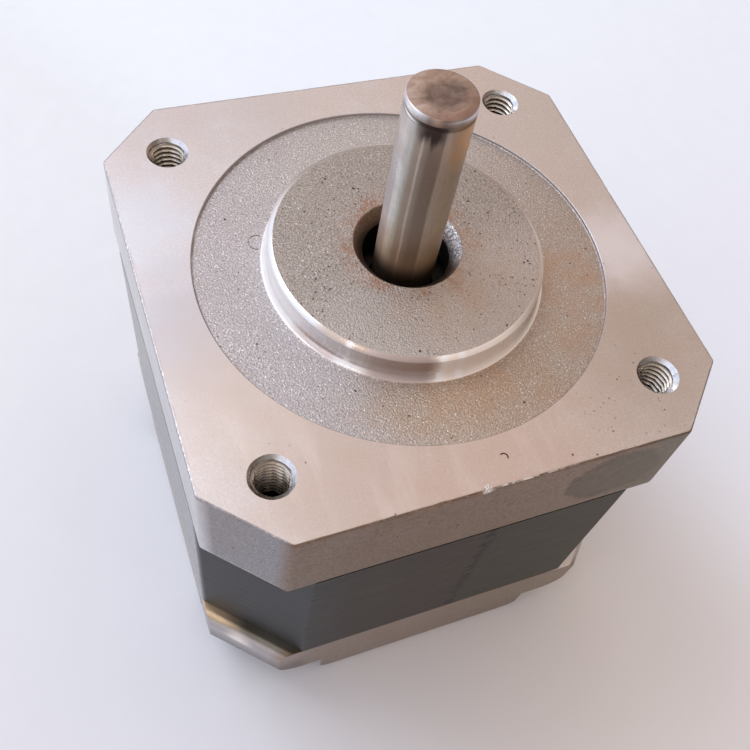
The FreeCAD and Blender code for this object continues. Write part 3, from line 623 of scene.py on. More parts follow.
def lamination_steel():
    """Dark coated lamination edges."""
    s = Shade("lamination_steel", metallic=0.55, ior=1.38)
    sheet = s.math("FRACT", s.mul(s.z, 2.0))
    sheet_id = s.math("FLOOR", s.mul(s.z, 2.0))
    tone = s.nodes.new("ShaderNodeTexWhiteNoise")
    tone.noise_dimensions = "1D"
    s.put(tone.inputs["W"], sheet_id)
    line = s.remap(s.gap(sheet, 0.5), 0.40, 0.5)
    drag = s.noise(1.0, 4.0, 0.65, stretch=(0.35, 0.35, 9.0), seed=3.0)
    skin = s.noise(7.0, 3.0, 0.6, seed=1.0)
    cloud = s.noise(0.14, 4.0, 0.6, seed=8.0)
    s.tone = s.ramp(tone.outputs["Value"], (0.0, (54, 46, 39)), (1.0, (57, 49, 42)))
    s.veil(drag, 0.55, 0.75, (78, 71, 64), 0.18)
    s.veil(skin, 0.4, 0.7, (52, 47, 42), 0.3)
    s.veil(cloud, 0.4, 0.7, (66, 57, 47), 0.4)
    # on the front flank: a greener cast to the right, and a column of dark smears where it starts
    front = s.remap(s.y, *FLANK)
    s.over(s.mul(front, s.remap(s.x, 0.6, 2.4, 0.0, 0.75)), (55, 54, 41))
    smear = s.noise(0.8, 2.0, 0.5, stretch=(1.0, 1.0, 1.1), seed=12.0)
    column = s.gap(s.x, s.add(0.7, s.mul(smear, 1.1)))
    broken = s.remap(s.noise(1.0, 2.0, 0.5, seed=21.0), 0.43, 0.50)
    column = s.mul(front, s.remap(column, 0.62, 0.30), broken)
    s.over(column, (12, 10, 8), 0.92)
    left = s.remap(s.add(s.x, s.y), -30.0, -36.0)
    s.over(left, (52, 62, 68), 0.6)
    s.over(line, (38, 36, 35), 0.10)
    rub = s.remap(s.noise(0.9, 5.0, 0.7, stretch=(0.5, 0.5, 3.0), seed=5.0), 0.68, 0.76)
    s.over(rub, (112, 102, 92), 0.35)
    # the varnish is thickest on the -X flank, which mirrors the surroundings at a grazing angle
    s.put(s.bsdf.inputs["Coat Weight"], s.remap(s.x, -20.6, -20.85, 0.02, 0.85))
    s.bsdf.inputs["Coat Roughness"].default_value = 0.16
    return s.done(s.add(s.spread(drag, 0.52, 0.42), s.mul(line, 0.1)),
                  s.add(s.mul(line, -0.15), s.mul(drag, 0.1), s.mul(skin, 0.6)), 0.4, 0.010)


def shaft_steel():
    """Ground shaft: painted reflections in broad bands along its length, brown at the foot, painted shade
    and grime where it goes into the bore, stained under the groove.
    """
    s = Shade("shaft_steel", metallic=1.0)
    cloud = s.noise(0.5, 4.0, 0.65, seed=2.0)
    fine = s.noise(1.0, 3.0, 0.6, stretch=(9.0, 9.0, 0.4), seed=5.0)
    grind = s.noise(1.0, 2.0, 0.5, stretch=(0.6, 0.6, 20.0))
    # how far round the shaft a point is, 0 to 1, with a little wander along the length
    turn = s.add(s.mul(s.x, 0.843 / SHAFT_R), s.mul(s.y, -0.538 / SHAFT_R))
    wander = s.mul(s.math("SUBTRACT", s.noise(0.22, 3.0, 0.5, seed=7.0), 0.5), 0.10)
    turn = s.remap(s.add(turn, wander), -1.0, 1.0)
    # painted reflections: pale on the left, brown in the middle and warm on the right, with a thin pale line
    # left of the middle
    s.tone = s.ramp(turn, (0.05, (215, 213, 215)), (0.11, (220, 217, 217)), (0.15, (252, 252, 251)),
                    (0.20, (243, 248, 245)), (0.25, (215, 219, 210)), (0.31, (180, 170, 158)),
                    (0.43, (171, 164, 153)), (0.52, (145, 135, 127)), (0.67, (151, 140, 130)),
                    (0.70, (200, 194, 184)), (0.85, (200, 190, 170)), (0.97, (180, 168, 150)))
    line = s.remap(s.gap(turn, 0.40), 0.028, 0.0)
    s.over(line, (222, 213, 205))
    # painted light: lighter at the top on the left
    painted_light_top_left = s.mul(s.fade(s.z, 10.0, 13.5), s.remap(turn, 0.28, 0.20))
    s.over(painted_light_top_left, (200, 192, 184), 0.7)
    s.veil(fine, 0.4, 0.7, (150, 136, 122), 0.22)
    s.veil(cloud, 0.45, 0.7, (150, 132, 112), 0.25)
    foot = s.fade(s.z, 7.5, 2.2)
    s.filter(foot, (246, 222, 198))
    s.over(s.fade(s.z, 4.0, 1.4), (196, 158, 122), 0.5)
    # painted shade, with some grime, where the shaft goes down into the bore
    low = s.fade(s.z, 2.8, 0.3)
    s.over(low, (34, 25, 20), 0.9)
    # stain below the groove, with short runs, strongest in the middle
    drip = s.noise(1.6, 3.0, 0.6, stretch=(1.0, 1.0, 0.05), seed=9.0)
    reach = s.add(s.z, s.mul(drip, 3.2))
    middle = s.mul(s.remap(turn, 0.24, 0.40), s.remap(turn, 0.72, 0.60))
    stain = s.mul(s.fade(reach, 15.8, 16.9), s.add(s.mul(middle, 0.8), 0.16))
    s.over(stain, (64, 55, 52))
    rust = s.mul(s.spot((1.25, -2.15, 14.3), 1.25, 0.7, 0.5, 1.2, (1.0, 1.0, 0.62)),
                 s.remap(s.noise(1.5, 4.0, 0.7, seed=4.0), 0.26, 0.52), s.remap(turn, 0.60, 0.72))
    s.over(rust, (208, 162, 116), 0.85)
    # painted shade in the groove, lighter towards the sides
    groove = s.mul(s.remap(s.z, 15.66, 15.76), s.remap(s.z, 16.14, 16.06))
    shade = s.add(s.mul(s.remap(turn, 0.12, 0.42), 0.5), 0.35, s.mul(s.remap(turn, 0.62, 0.80), -0.4))
    s.over(s.mul(groove, shade), (66, 54, 50))
    # painted reflections on the rounded top edge, by how far round the shaft
    band = s.remap(s.z, 16.08, 16.14)
    tip = s.ramp(turn, (0.05, (214, 206, 210)), (0.16, (255, 255, 255)), (0.30, (214, 212, 216)),
                 (0.42, (150, 136, 130)), (0.52, (190, 166, 150)), (0.64, (140, 124, 118)),
                 (0.78, (190, 180, 174)), (0.95, (206, 198, 200)))
    s.over(band, s.mix(s.remap(s.noise(1.2, 3.0, 0.6, seed=3.0), 0.5, 0.7, 0.0, 0.35), tip, (150, 128, 116)))
    stained = s.most(s.mul(foot, 0.9), stain)
    # the oil and rust film towards the foot hides part of the bare metal
    s.metal(s.remap(s.z, 13.0, 3.0, 1.0, 0.55))
    rough = s.add(s.spread(cloud, 0.26, 0.34), s.mul(stained, 0.15), s.mul(rust, 0.15), s.mul(low, 0.2))
    return s.done(rough, s.add(s.mul(grind, 0.4), s.mul(fine, 0.4), s.mul(rust, 0.4)), 0.12, 0.006)


def shaft_end():
    """Turned end face of the shaft: tan, with a dark swirl in the middle and a reddish edge."""
    s = Shade("shaft_end_face", metallic=0.85)
    swirl = s.noise(0.5, 5.0, 0.65, stretch=(0.8, 1.4, 1.0), distort=1.2)
    fine = s.noise(3.0, 4.0, 0.65, seed=2.0)
    r = s.radius()
    s.tone = s.ramp(swirl, (0.35, (156, 134, 120)), (0.5, (178, 156, 142)), (0.65, (196, 178, 165)))
    core = s.spot((0.2, -0.1, TIP_Z), 1.4, 0.4, 0.7, 0.7, (0.85, 1.1, 1.0))
    s.over(core, s.mottle(swirl, (100, 86, 81), (128, 110, 103), 0.4, 0.6), 0.85)
    red = s.mul(s.remap(s.along(0.35, -0.94), 0.5, 2.0), s.remap(r, 1.0, 2.0))
    s.over(red, (134, 94, 84), 0.6)
    wob = s.add(r, s.mul(s.math("SUBTRACT", swirl, 0.5), 0.5))
    ring = s.math("SINE", s.mul(wob, 11.0))
    s.over(s.remap(ring, 0.3, 1.0), (196, 176, 158), 0.10)
    s.veil(fine, 0.5, 0.75, (120, 98, 86), 0.3)
    s.over(s.remap(r, 2.28, 2.42), (150, 120, 108), 0.5)
    return s.done(s.spread(swirl, 0.46, 0.36),
                  s.add(s.mul(ring, 0.1), s.mul(swirl, 0.8), s.mul(fine, 0.3)), 0.35, 0.02)


def turned_steel(name, base, light, rough_lo, rough_hi, rust=0.1):
    """Turned or ground steel, oiled."""
    s = Shade(name, metallic=1.0)
    ring = s.noise(1.0, 3.0, 0.6, stretch=(1.0, 1.0, 12.0))
    cloud = s.noise(0.6, 4.0, 0.65, seed=2.0)
    s.tone = s.mottle(ring, base, light)
    s.veil(cloud, 0.55, 0.75, (122, 92, 66), rust * 3.0)
    return s.done(s.spread(cloud, rough_lo, rough_hi), s.add(ring, s.mul(cloud, 0.5)), 0.3, 0.01)


def stamped_steel(name, base, light):
    """Stack of thin sheets seen from the edge."""
    s = Shade(name, metallic=0.9)
    sheet = s.gap(s.math("FRACT", s.mul(s.z, 2.0)), 0.5)
    line = s.remap(sheet, 0.38, 0.5)
    fine = s.noise(3.0, 4.0, 0.6)
    s.tone = s.mottle(fine, base, light)
    s.over(line, (52, 48, 46), 0.6)
    return s.done(s.spread(fine, 0.3, 0.45), s.add(s.mul(line, -1.0), s.mul(fine, 0.3)), 0.5, 0.02)


def copper_wire():
    """Enamelled wire, wound around each pole."""
    s = Shade("copper_wire", metallic=0.85)
    r = s.radius()
    wrap = s.math("SINE", s.mul(r, 2.0 * math.pi / 0.42))
    fine = s.noise(1.3, 4.0, 0.65)
    height = s.remap(wrap, -1.0, 1.0)
    # painted shade between the turns of wire, lighter on their crests
    s.tone = s.ramp(height, (0.0, (92, 38, 20)), (0.55, (176, 92, 52)), (1.0, (214, 132, 84)))
    s.veil(fine, 0.4, 0.7, (140, 66, 36), 0.4)
    return s.done(s.spread(fine, 0.24, 0.38), s.add(wrap, s.mul(fine, 0.4)), 0.7, 0.12)


def moulded(name, base, shade, rough_lo, rough_hi, relief=0.01, grime=0.3):
    """Moulded plastic or rubber with a fine skin and a little dust."""
    s = Shade(name)
    skin = s.noise(9.0, 3.0, 0.6)
    cloud = s.noise(0.5, 4.0, 0.6, seed=3.0)
    s.tone = s.mottle(skin, shade, base)
    s.veil(cloud, 0.5, 0.75, shade, grime)
    return s.done(s.spread(cloud, rough_lo, rough_hi), skin, 0.4, relief)


def board_laminate():
    """Green solder resist over a glass weave."""
    s = Shade("board_laminate", ior=1.5)
    weave = s.math("MULTIPLY", s.math("SINE", s.mul(s.x, 16.0)), s.math("SINE", s.mul(s.y, 16.0)))
    cloud = s.noise(0.6, 4.0, 0.6)
    s.tone = s.mottle(cloud, (22, 74, 40), (40, 104, 58))
    s.veil(weave, 0.2, 0.9, (70, 130, 80), 0.25)
    return s.done(s.spread(cloud, 0.28, 0.4), weave, 0.2, 0.01)


RIGHT_STAIN = patchy_stain((12.6, -6.4, -0.3), 4.8, 0.8, 0.6, 0.58, 0.3, (1.0, 0.8, 1.0), 0.5)
DISC_STAIN = patchy_stain((2.2, -4.2, 2.0), 4.8, 0.9, 0.5, 0.40, 0.3, grain=0.6)
FRONT_STAIN = patchy_stain((1.0, -12.6, -0.3), 5.4, 0.8, 0.6, 0.50, 0.3, (0.85, 1.8, 1.0), 0.5)

MATS = {
    "face": machined_face(),
    "disc": cast_metal("cast_disc", (169, 160, 153), (147, 138, 131), (190, 182, 176), 0.13, 0.60, 0.08,
                       ((painted_light_disc_front, (206, 196, 190)), (bore_rust, RUST), (DISC_STAIN, TAN)),
                       ((warm_side, (246, 238, 232)),)),
    "floor": cast_metal("cast_recess", (190, 183, 179), (170, 163, 159), (210, 205, 202), 0.03, 0.75,
                        0.07, ((RIGHT_STAIN, TAN), (FRONT_STAIN, TAN), (recess_edge, EDGE_LINE_BROWN)),
                        ((painted_cool_reflection, (248, 248, 255)), (warm_side, (242, 232, 222)),
                         (warm_front, (253, 240, 224)))),
    "polish": polished_ring(),
    "side": bell_side(),
    "bore": bore_wall(),
    "inner": inner_cast(),
    "thread": thread_metal(),
    "cover": cover_metal(),
    "lamination": lamination_steel(),
    "shaft": shaft_steel(),
    "shaft_end": shaft_end(),
    "copper": copper_wire(),
    "ring": turned_steel("bearing_ring_steel", (120, 110, 100), (170, 162, 154), 0.2, 0.35),
    "race": turned_steel("oiled_race_steel", (58, 52, 47), (78, 71, 64), 0.34, 0.48),
    "ball": turned_steel("ball_steel", (206, 206, 208), (226, 226, 228), 0.08, 0.14, 0.0),
    "cage": turned_steel("cage_steel", (160, 152, 140), (196, 190, 180), 0.3, 0.42, 0.05),
    "spacer": turned_steel("spacer_steel", (150, 148, 146), (188, 186, 184), 0.28, 0.4, 0.05),
    "spring": turned_steel("spring_steel", (84, 92, 116), (128, 134, 150), 0.25, 0.36, 0.08),
    "screw": turned_steel("screw_steel", (132, 130, 132), (188, 186, 188), 0.26, 0.4, 0.1),
    "tin": turned_steel("tinned_pin", (198, 196, 190), (224, 222, 216), 0.2, 0.32, 0.0),
    "rotor": stamped_steel("rotor_steel", (120, 120, 124), (160, 160, 164)),
    "magnet": turned_steel("magnet_plate", (132, 130, 132), (168, 166, 168), 0.3, 0.42, 0.05),
    "insulator": moulded("insulator_plastic", (222, 218, 206), (196, 190, 174), 0.42, 0.56),
    "seal": moulded("seal_rubber", (30, 28, 27), (14, 13, 12), 0.42, 0.6, 0.02, 0.4),
    "connector": moulded("connector_plastic", (226, 222, 208), (204, 198, 180), 0.36, 0.5),
    "board": board_laminate(),
}


# ---------------------------------------------------------------- meshes

LONG_STEPS = 112
CUT_STEPS = 30
ROUND_STEPS = 128
ARC_STEPS = 5


def octagon_loop(half, cut, corner_r, z):
    """Rounded cut-cornered square with a fixed number of points, counter-clockwise."""
    k = half - cut
    points = [Vector((half, -k)), Vector((half, k)), Vector((k, half)), Vector((-k, half)),
              Vector((-half, k)), Vector((-half, -k)), Vector((-k, -half)), Vector((k, -half))]
    reach = corner_r * math.tan(math.radians(22.5))
    arcs = []
    for i, p in enumerate(points):
        before = (p - points[i - 1]).normalized()
        inward = Vector((-before.y, before.x))
        centre = p - before * reach + inward * corner_r
        start = -inward
        arc = []
        for j in range(ARC_STEPS + 1):
            t = math.radians(45.0 * j / ARC_STEPS)
            sin, cos = math.sin(t), math.cos(t)
            d = Vector((start.x * cos - start.y * sin, start.x * sin + start.y * cos))
            arc.append(centre + d * corner_r)
        arcs.append(arc)
    loop = []
    for i, arc in enumerate(arcs):
        loop += arc
        a, b = arc[-1], arcs[(i + 1) % 8][0]
        steps = LONG_STEPS if i % 2 == 0 else CUT_STEPS
        loop += [a.lerp(b, j / steps) for j in range(1, steps)]
    return [Vector((p.x, p.y, z)) for p in loop]


REFERENCE = octagon_loop(FACE_HALF, BELL_CUT, BELL_CORNER_R, 0.0)
ANGLES = [math.atan2(p.y, p.x) for p in REFERENCE]


def circle_loop(radius, z, angles=ANGLES):
    return [Vector((radius * math.cos(a), radius * math.sin(a), z)) for a in angles]


def even_angles(count):
    return [2 * math.pi * i / count for i in range(count)]


def new_object(name, verts, faces, mats, indices=None):
    mesh = bpy.data.meshes.new(name)
    mesh.from_pydata(verts, [], faces)
    for m in mats:
        mesh.materials.append(m)
    if indices:
        mesh.polygons.foreach_set("material_index", indices)
    obj = bpy.data.objects.new(name, mesh)
    bpy.context.scene.collection.objects.link(obj)
    tidy = bmesh.new()
    tidy.from_mesh(mesh)
    bmesh.ops.recalc_face_normals(tidy, faces=tidy.faces)
    tidy.to_mesh(mesh)
    tidy.free()
    return obj


class Shell:
    """Closed mesh built from loops of points, in mm."""

    def __init__(self):
        self.verts, self.faces, self.mats = [], [], []

    def loop(self, points):
        first = len(self.verts)
        self.verts += points
        return list(range(first, len(self.verts)))

    def face(self, corners, mat):
        self.faces.append(tuple(corners))
        self.mats.append(mat)

    def band(self, a, b, mat):
        """Quads between two loops of equal length."""
        for i in range(len(a)):
            j = (i + 1) % len(a)
            self.face((a[i], a[j], b[j], b[i]), mat)

    def wall(self, loops, mat):
        for a, b in zip(loops, loops[1:]):
            self.band(a, b, mat)

    def flat(self, loops, mat):
        """Flat face with holes: the first loop is its outline."""
        ids = [i for loop in loops for i in loop]
        for tri in tessellate_polygon([[self.verts[i] for i in loop] for loop in loops]):
            self.face((ids[t] for t in tri), mat)

    def object(self, name, mats):
        return new_object(name, [v * MM for v in self.verts], self.faces, mats, self.mats)


def bake(obj):
    """Turn an object's modifiers into its own mesh."""
    bpy.context.view_layer.update()
    done = bpy.data.meshes.new_from_object(obj.evaluated_get(bpy.context.evaluated_depsgraph_get()))
    obj.modifiers.clear()
    obj.data = done


def carve(obj, cutter):
    """Cut a closed mesh out of obj, and remove the cutter."""
    m = obj.modifiers.new("carve", "BOOLEAN")
    m.operation = "DIFFERENCE"
    m.solver = "EXACT"
    m.material_mode = "TRANSFER"
    m.object = cutter
    bake(obj)
    bpy.data.objects.remove(cutter, do_unlink=True)


def smooth(obj, angle=32.0):
    """Smooth shading that breaks at edges sharper than the angle, in degrees."""
    mesh = obj.data
    mesh.polygons.foreach_set("use_smooth", [True] * len(mesh.polygons))
    mesh.set_sharp_from_angle(angle=math.radians(angle))
    m = obj.modifiers.new("normals", "WEIGHTED_NORMAL")
    m.keep_sharp = True
    m.weight = 80


def settle(obj, body, slot, *nodes):
    """Ride on a body and stand for CAD nodes; slot is not used."""
    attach(obj, body)
    if nodes:
        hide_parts(*nodes)
    return obj


# ---------------------------------------------------------------- front bell

def thread_loops(x, y):
    """Wall of a countersunk M3 tapped hole, from the face down, with the real helix."""
    turns, step = 72, 0.05
    levels = [FACE_Z]
    z = -0.06
    while z > THREAD_LOW - 0.2:
        levels.append(z)
        z -= step
    levels += [THREAD_LOW - 0.3, BELL_LOW]
    loops = []
    for z in levels:
        loop = []
        for i in range(turns):
            a = 2 * math.pi * i / turns
            t = (z / THREAD_PITCH - i / turns) % 1.0
            ridge = max(0.0, 1.0 - abs(t - 0.5) / 0.40)
            fade = min(1.0, max(0.0, (z - THREAD_LOW) / 0.15))
            r = THREAD_R - (THREAD_R - TAP_R) * min(1.0, ridge * 1.15) * fade
            sink = SINK_R + z
            sink += 0.025 * noise.noise(Vector((x + math.cos(a) * 2.2, y + math.sin(a) * 2.2, 0.5)))
            r = max(r, sink)
            loop.append(Vector((x + r * math.cos(a), y + r * math.sin(a), z)))
        loops.append(loop)
    return loops


def ejector_tool():
    """Thin curved strip: the line an ejector pin left in the recess floor."""
    at, r_in, r_out = Vector((-10.85, 4.7)), 0.66, 0.74
    keep = []
    for i in range(120):
        a = 2 * math.pi * i / 120 - math.pi / 4
        p = at + Vector((math.cos(a), math.sin(a))) * r_out
        q = at + Vector((math.cos(a), math.sin(a))) * r_in
        if min(p.length, q.length) > BOSS_R + 0.66:
            keep.append(a)
    loops = []
    for a in keep:
        d = Vector((math.cos(a), math.sin(a)))
        p, q = at + d * r_in, at + d * r_out
        loops.append([Vector((p.x, p.y, RECESS_Z - 0.05)), Vector((q.x, q.y, RECESS_Z - 0.05)),
                      Vector((q.x, q.y, RECESS_Z + 0.2)), Vector((p.x, p.y, RECESS_Z + 0.2))])
    shell = Shell()
    rings = [shell.loop(points) for points in loops]
    shell.wall(rings, 0)
    shell.face(reversed(rings[0]), 0)
    shell.face(rings[-1], 0)
    return shell.object("ejector_tool", [MATS["inner"]])


# Nicks on the face's outer edge: place, half length and depth in mm
NICKS = [((-1.45, -20.75), 0.36, 0.16), ((-8.6, -20.75), 0.22, 0.09), ((-5.0, -20.75), 0.5, 0.05),
         ((-20.75, -5.5), 0.3, 0.07), ((9.5, -20.75), 0.25, 0.05), ((-18.3, -18.2), 0.3, 0.06),
         ((20.75, 3.0), 0.3, 0.07), ((6.0, 20.75), 0.3, 0.06)]


def worn(loop, amount, nick_share, seed):
    """Loop with the small unevenness and nicks of a handled edge."""
    out = []
    for p in loop:
        n = noise.noise(Vector((p.x * 1.7, p.y * 1.7, seed))) + 0.5 * noise.noise(
            Vector((p.x * 5.0, p.y * 5.0, seed + 4.0)))
        pull = amount * (0.5 + 0.7 * n)
        for (nx, ny), half, depth in NICKS:
            d = math.hypot(p.x - nx, p.y - ny)
            if d < half:
                pull += nick_share * depth * (1 - (d / half) ** 2) * (0.8 + 0.4 * noise.noise(p * 9.0))
        flat = Vector((p.x, p.y, 0)).normalized()
        out.append(p - flat * pull)
    return out


def front_bell():
    keys = ("bore", "disc", "polish", "floor", "face", "side", "inner", "thread")
    bore, disc, polish, floor, face, side, inner, thread = range(len(keys))
    rows = []

    def ring(r, z, mat):
        rows.append((circle_loop(r, z), mat))

    def outline(inset, z, mat, wear=0.0, share=0.0):
        half = FACE_HALF + (BODY_HALF - FACE_HALF) * z / BELL_LOW - inset
        loop = octagon_loop(half, BELL_CUT - CUT_PER_INSET * inset, max(0.2, BELL_CORNER_R - inset), z)
        rows.append((worn(loop, wear, share, 1.0) if wear or share else loop, mat))

    # from the foot of the bore up and outwards; each entry's material covers the band above it
    ring(BORE_R, -1.1, bore)
    ring(BORE_R, BOSS_TOP - BORE_SINK - 0.03, bore)
    ring(BORE_R + 0.03, BOSS_TOP - BORE_SINK + 0.03, bore)
    ring(SINK_TOP_R - 0.03, BOSS_TOP - 0.05, disc)
    ring(SINK_TOP_R + 0.05, BOSS_TOP, disc)
    for r in (6.0, 8.0, BOSS_R - 0.48):
        ring(r, BOSS_TOP, disc)
    ring(BOSS_R - 0.40, BOSS_TOP, polish)
    ring(BOSS_R - 0.36, BOSS_TOP - 0.015, polish)
    ring(BOSS_R - 0.05, BOSS_TOP - 0.19, polish)
    ring(BOSS_R, BOSS_TOP - 0.24, polish)
    ring(BOSS_R, 1.0, polish)
    for i in range(FILLET_STEPS + 1):
        t = math.radians(90.0 * i / FILLET_STEPS)
        out, up = FILLET_R * (1 - math.cos(t)), FILLET_R * (1 - math.sin(t))
        ring(BOSS_R + out, RECESS_Z + up, polish if i < FILLET_STEPS - 1 else floor)
    ring(BOSS_R + 0.75, RECESS_Z, floor)
    for r in (12.8, 14.2, 15.6, RECESS_R - 0.1):
        ring(r, RECESS_Z, floor)
    ring(RECESS_R - 0.02, RECESS_Z + 0.06, face)
    ring(RECESS_R, -0.05, face)
    ring(RECESS_R + 0.05, FACE_Z, face)
    face_band = len(rows) - 1
    outline(0.12, FACE_Z, side, 0.03, 1.0)
    outline(0.03, -0.035, side, 0.02, 0.9)
    outline(0.0, -0.11, side, 0.01, 0.7)
    outline(0.0, -0.32, side, 0.0, 0.12)
    for z in (-1.2, -3.0, -5.0, -7.0, -8.25):
        outline(0.0, z, side)
    outline(0.03, -8.66, side)
    outline(0.09, -8.76, side)
    outline(0.16, BELL_LOW, inner)
    low_band = len(rows) - 1
    for r, z in ((18.6, BELL_LOW), (18.6, -3.8), (18.2, -3.4), (10.6, -3.4), (10.2, -3.8), (10.2, -7.6),
                 (8.25, -7.6), (8.0, -7.35), (8.0, -2.4), (6.3, -2.4)):
        ring(r, z, inner)
    ring(6.3, -1.1, bore)

    shell = Shell()
    loops = [shell.loop(points) for points, _ in rows]
    holes = [[shell.loop(points) for points in thread_loops(sx * HOLE_AT, sy * HOLE_AT)]
             for sx in (-1, 1) for sy in (-1, 1)]
    for i, (_, mat) in enumerate(rows):
        if i == face_band:
            shell.flat([loops[i + 1], loops[i]] + [h[0] for h in holes], mat)
        elif i == low_band:
            shell.flat([loops[i], loops[i + 1]] + [h[-1] for h in holes], mat)
        else:
            shell.band(loops[i], loops[(i + 1) % len(loops)], mat)
    for hole in holes:
        shell.wall(hole, thread)
    obj = shell.object("front_bell", [MATS[k] for k in keys])
    carve(obj, ejector_tool())
    smooth(obj)
    for poly in obj.data.polygons:
        if poly.material_index == face:
            poly.use_smooth = False
    return settle(obj, "housing", "cast_aluminium", BELL)


front_bell()


# ---------------------------------------------------------------- stator stack

def stator_void_points():
    """Outline of the space inside the stator, counter-clockwise, in mm; pitch and width are in degrees."""
    poles, teeth, pitch, width = 8, 6, 7.2, 3.2
    tip, valley, slot_r, neck, back = 13.1, 13.8, 17.6, 14.7, 14.2
    shoe_half = (teeth - 1) * pitch / 2 + width / 2
    half_w = 2.1
    points = []

    def put(r, deg):
        points.append(Vector((r * math.cos(math.radians(deg)), r * math.sin(math.radians(deg)), 0)))

    for i in range(poles):
        c = i * 45.0
        root = math.degrees(math.asin(half_w / slot_r))
        for t in range(6):
            put(slot_r, c - 22.5 + (22.5 - root) * t / 5)
        put(math.hypot(neck, half_w), c - math.degrees(math.atan2(half_w, neck)))
        put(back, c - shoe_half)
        for k in range(teeth):
            start = c + k * pitch - shoe_half
            put(tip, start)
            put(tip, start + width)
            if k < teeth - 1:
                put(valley, start + width)
                put(valley, start + pitch)
        put(back, c + shoe_half)
        put(math.hypot(neck, half_w), c + math.degrees(math.atan2(half_w, neck)))
        for t in range(5):
            put(slot_r, c + root + (22.5 - root) * t / 5)
    return points


def stator_stack():
    """Laminations with real steps between the sheets outside, teeth inside, screw holes through."""
    sheets = 38
    top = BELL_LOW
    thick = (top - STACK_LOW) / sheets
    outer_rows = []
    for k in range(sheets):
        z0 = STACK_LOW + k * thick
        for dz, groove in ((0.0, 0.006), (0.16, 0.0), (0.84, 0.0)):
            outer_rows.append((z0 + dz * thick, groove, k))
    outer_rows.append((top, 0.006, sheets - 1))
    shift = [(rng.uniform(0.0, 0.004), rng.uniform(0.0, 0.004)) for _ in range(sheets)]

    def sparse_octagon(half, cut, z):
        loop = octagon_loop(half, cut, 0.5, z)
        keep, at = [], 0
        for i in range(8):
            keep += loop[at:at + ARC_STEPS + 1]
            at += ARC_STEPS + (LONG_STEPS if i % 2 == 0 else CUT_STEPS)
        return keep

    shell = Shell()
    outside = []
    for z, groove, k in outer_rows:
        inset, cut = shift[k]
        size = STACK_HALF - groove - inset
        outside.append(sparse_octagon(size, STACK_CUT - CUT_PER_INSET * groove + cut, z))
    walls = [outside]
    insides = [stator_void_points()]
    for sx in (-1, 1):
        for sy in (-1, 1):
            insides.append([Vector((sx * HOLE_AT + SCREW_HOLE_R * math.cos(a),
                                    sy * HOLE_AT + SCREW_HOLE_R * math.sin(a), 0))
                            for a in even_angles(48)])
    walls += [[[Vector((p.x, p.y, z)) for p in inside] for z in (STACK_LOW, top)] for inside in insides]
    rings = [[shell.loop(points) for points in wall] for wall in walls]
    for ring in rings:
        shell.wall(ring, 0)
    for end in (0, -1):
        shell.flat([ring[end] for ring in rings], 0)
    obj = shell.object("stator_stack", [MATS["lamination"]])
    smooth(obj, 28.0)
    return settle(obj, "housing", "stator_steel", STACK)


stator_stack()


# ---------------------------------------------------------------- shaft

def lathe_object(name, outline, mats, indices):
    """Turned solid from (radius, z) points, both ends on the axis."""
    shell = Shell()
    count = ROUND_STEPS
    loops = [shell.loop(circle_loop(r, z, even_angles(count))) for r, z in outline[1:-1]]
    foot, tip = (shell.loop([Vector((0, 0, outline[end][1]))])[0] for end in (0, -1))
    for a, b, mat in zip(loops, loops[1:], indices[1:]):
        shell.band(a, b, mat)
    for i in range(count):
        j = (i + 1) % count
        shell.face((foot, loops[0][j], loops[0][i]), indices[0])
        shell.face((loops[-1][i], loops[-1][j], tip), indices[-1])
    return shell.object(name, mats)


def output_shaft():
    r = SHAFT_R
    foot = [(0, SHAFT_LOW), (r - 0.4, SHAFT_LOW), (r, SHAFT_LOW + 0.4), (r, -20.0)]
    relief = [(r, -2.25), (r - 0.2, -2.15), (r - 0.2, -1.25), (r, -1.15)]
    plain = [(r, 2.0), (r, 6.0), (r, 10.0)]
    groove = [(r, 15.70), (r - 0.03, 15.75), (r - 0.14, 15.80), (r - 0.16, 15.85),
              (r - 0.16, 16.01), (r - 0.14, 16.06), (r - 0.03, 16.10), (r, 16.14)]
    rounding = [(r, 16.60), (r - 0.02, 16.67), (r - 0.07, 16.72)]
    end_face = [(r - 0.14, TIP_Z), (1.2, TIP_Z), (0.4, TIP_Z - 0.015), (0, TIP_Z - 0.03)]
    side = foot + relief + plain + groove + rounding
    outline = side + end_face
    indices = [0 if i < len(side) - 1 else 1 for i in range(len(outline) - 1)]
    obj = lathe_object("output_shaft", outline, [MATS["shaft"], MATS["shaft_end"]], indices)
    smooth(obj, 40.0)
    return settle(obj, "rotor", "shaft_steel", SHAFT)


output_shaft()


# ---------------------------------------------------------------- pieces with broken edges

def bevelled(obj, width):
    """Break every sharp edge, in the mesh itself."""
    bevel = obj.modifiers.new("edges", "BEVEL")
    bevel.width = width * MM
    bevel.segments = 2
    bevel.limit_method = "ANGLE"
    bevel.angle_limit = math.radians(30.0)
    bevel.use_clamp_overlap = True
    bake(obj)


SHARP_ANGLE = math.radians(60.0)


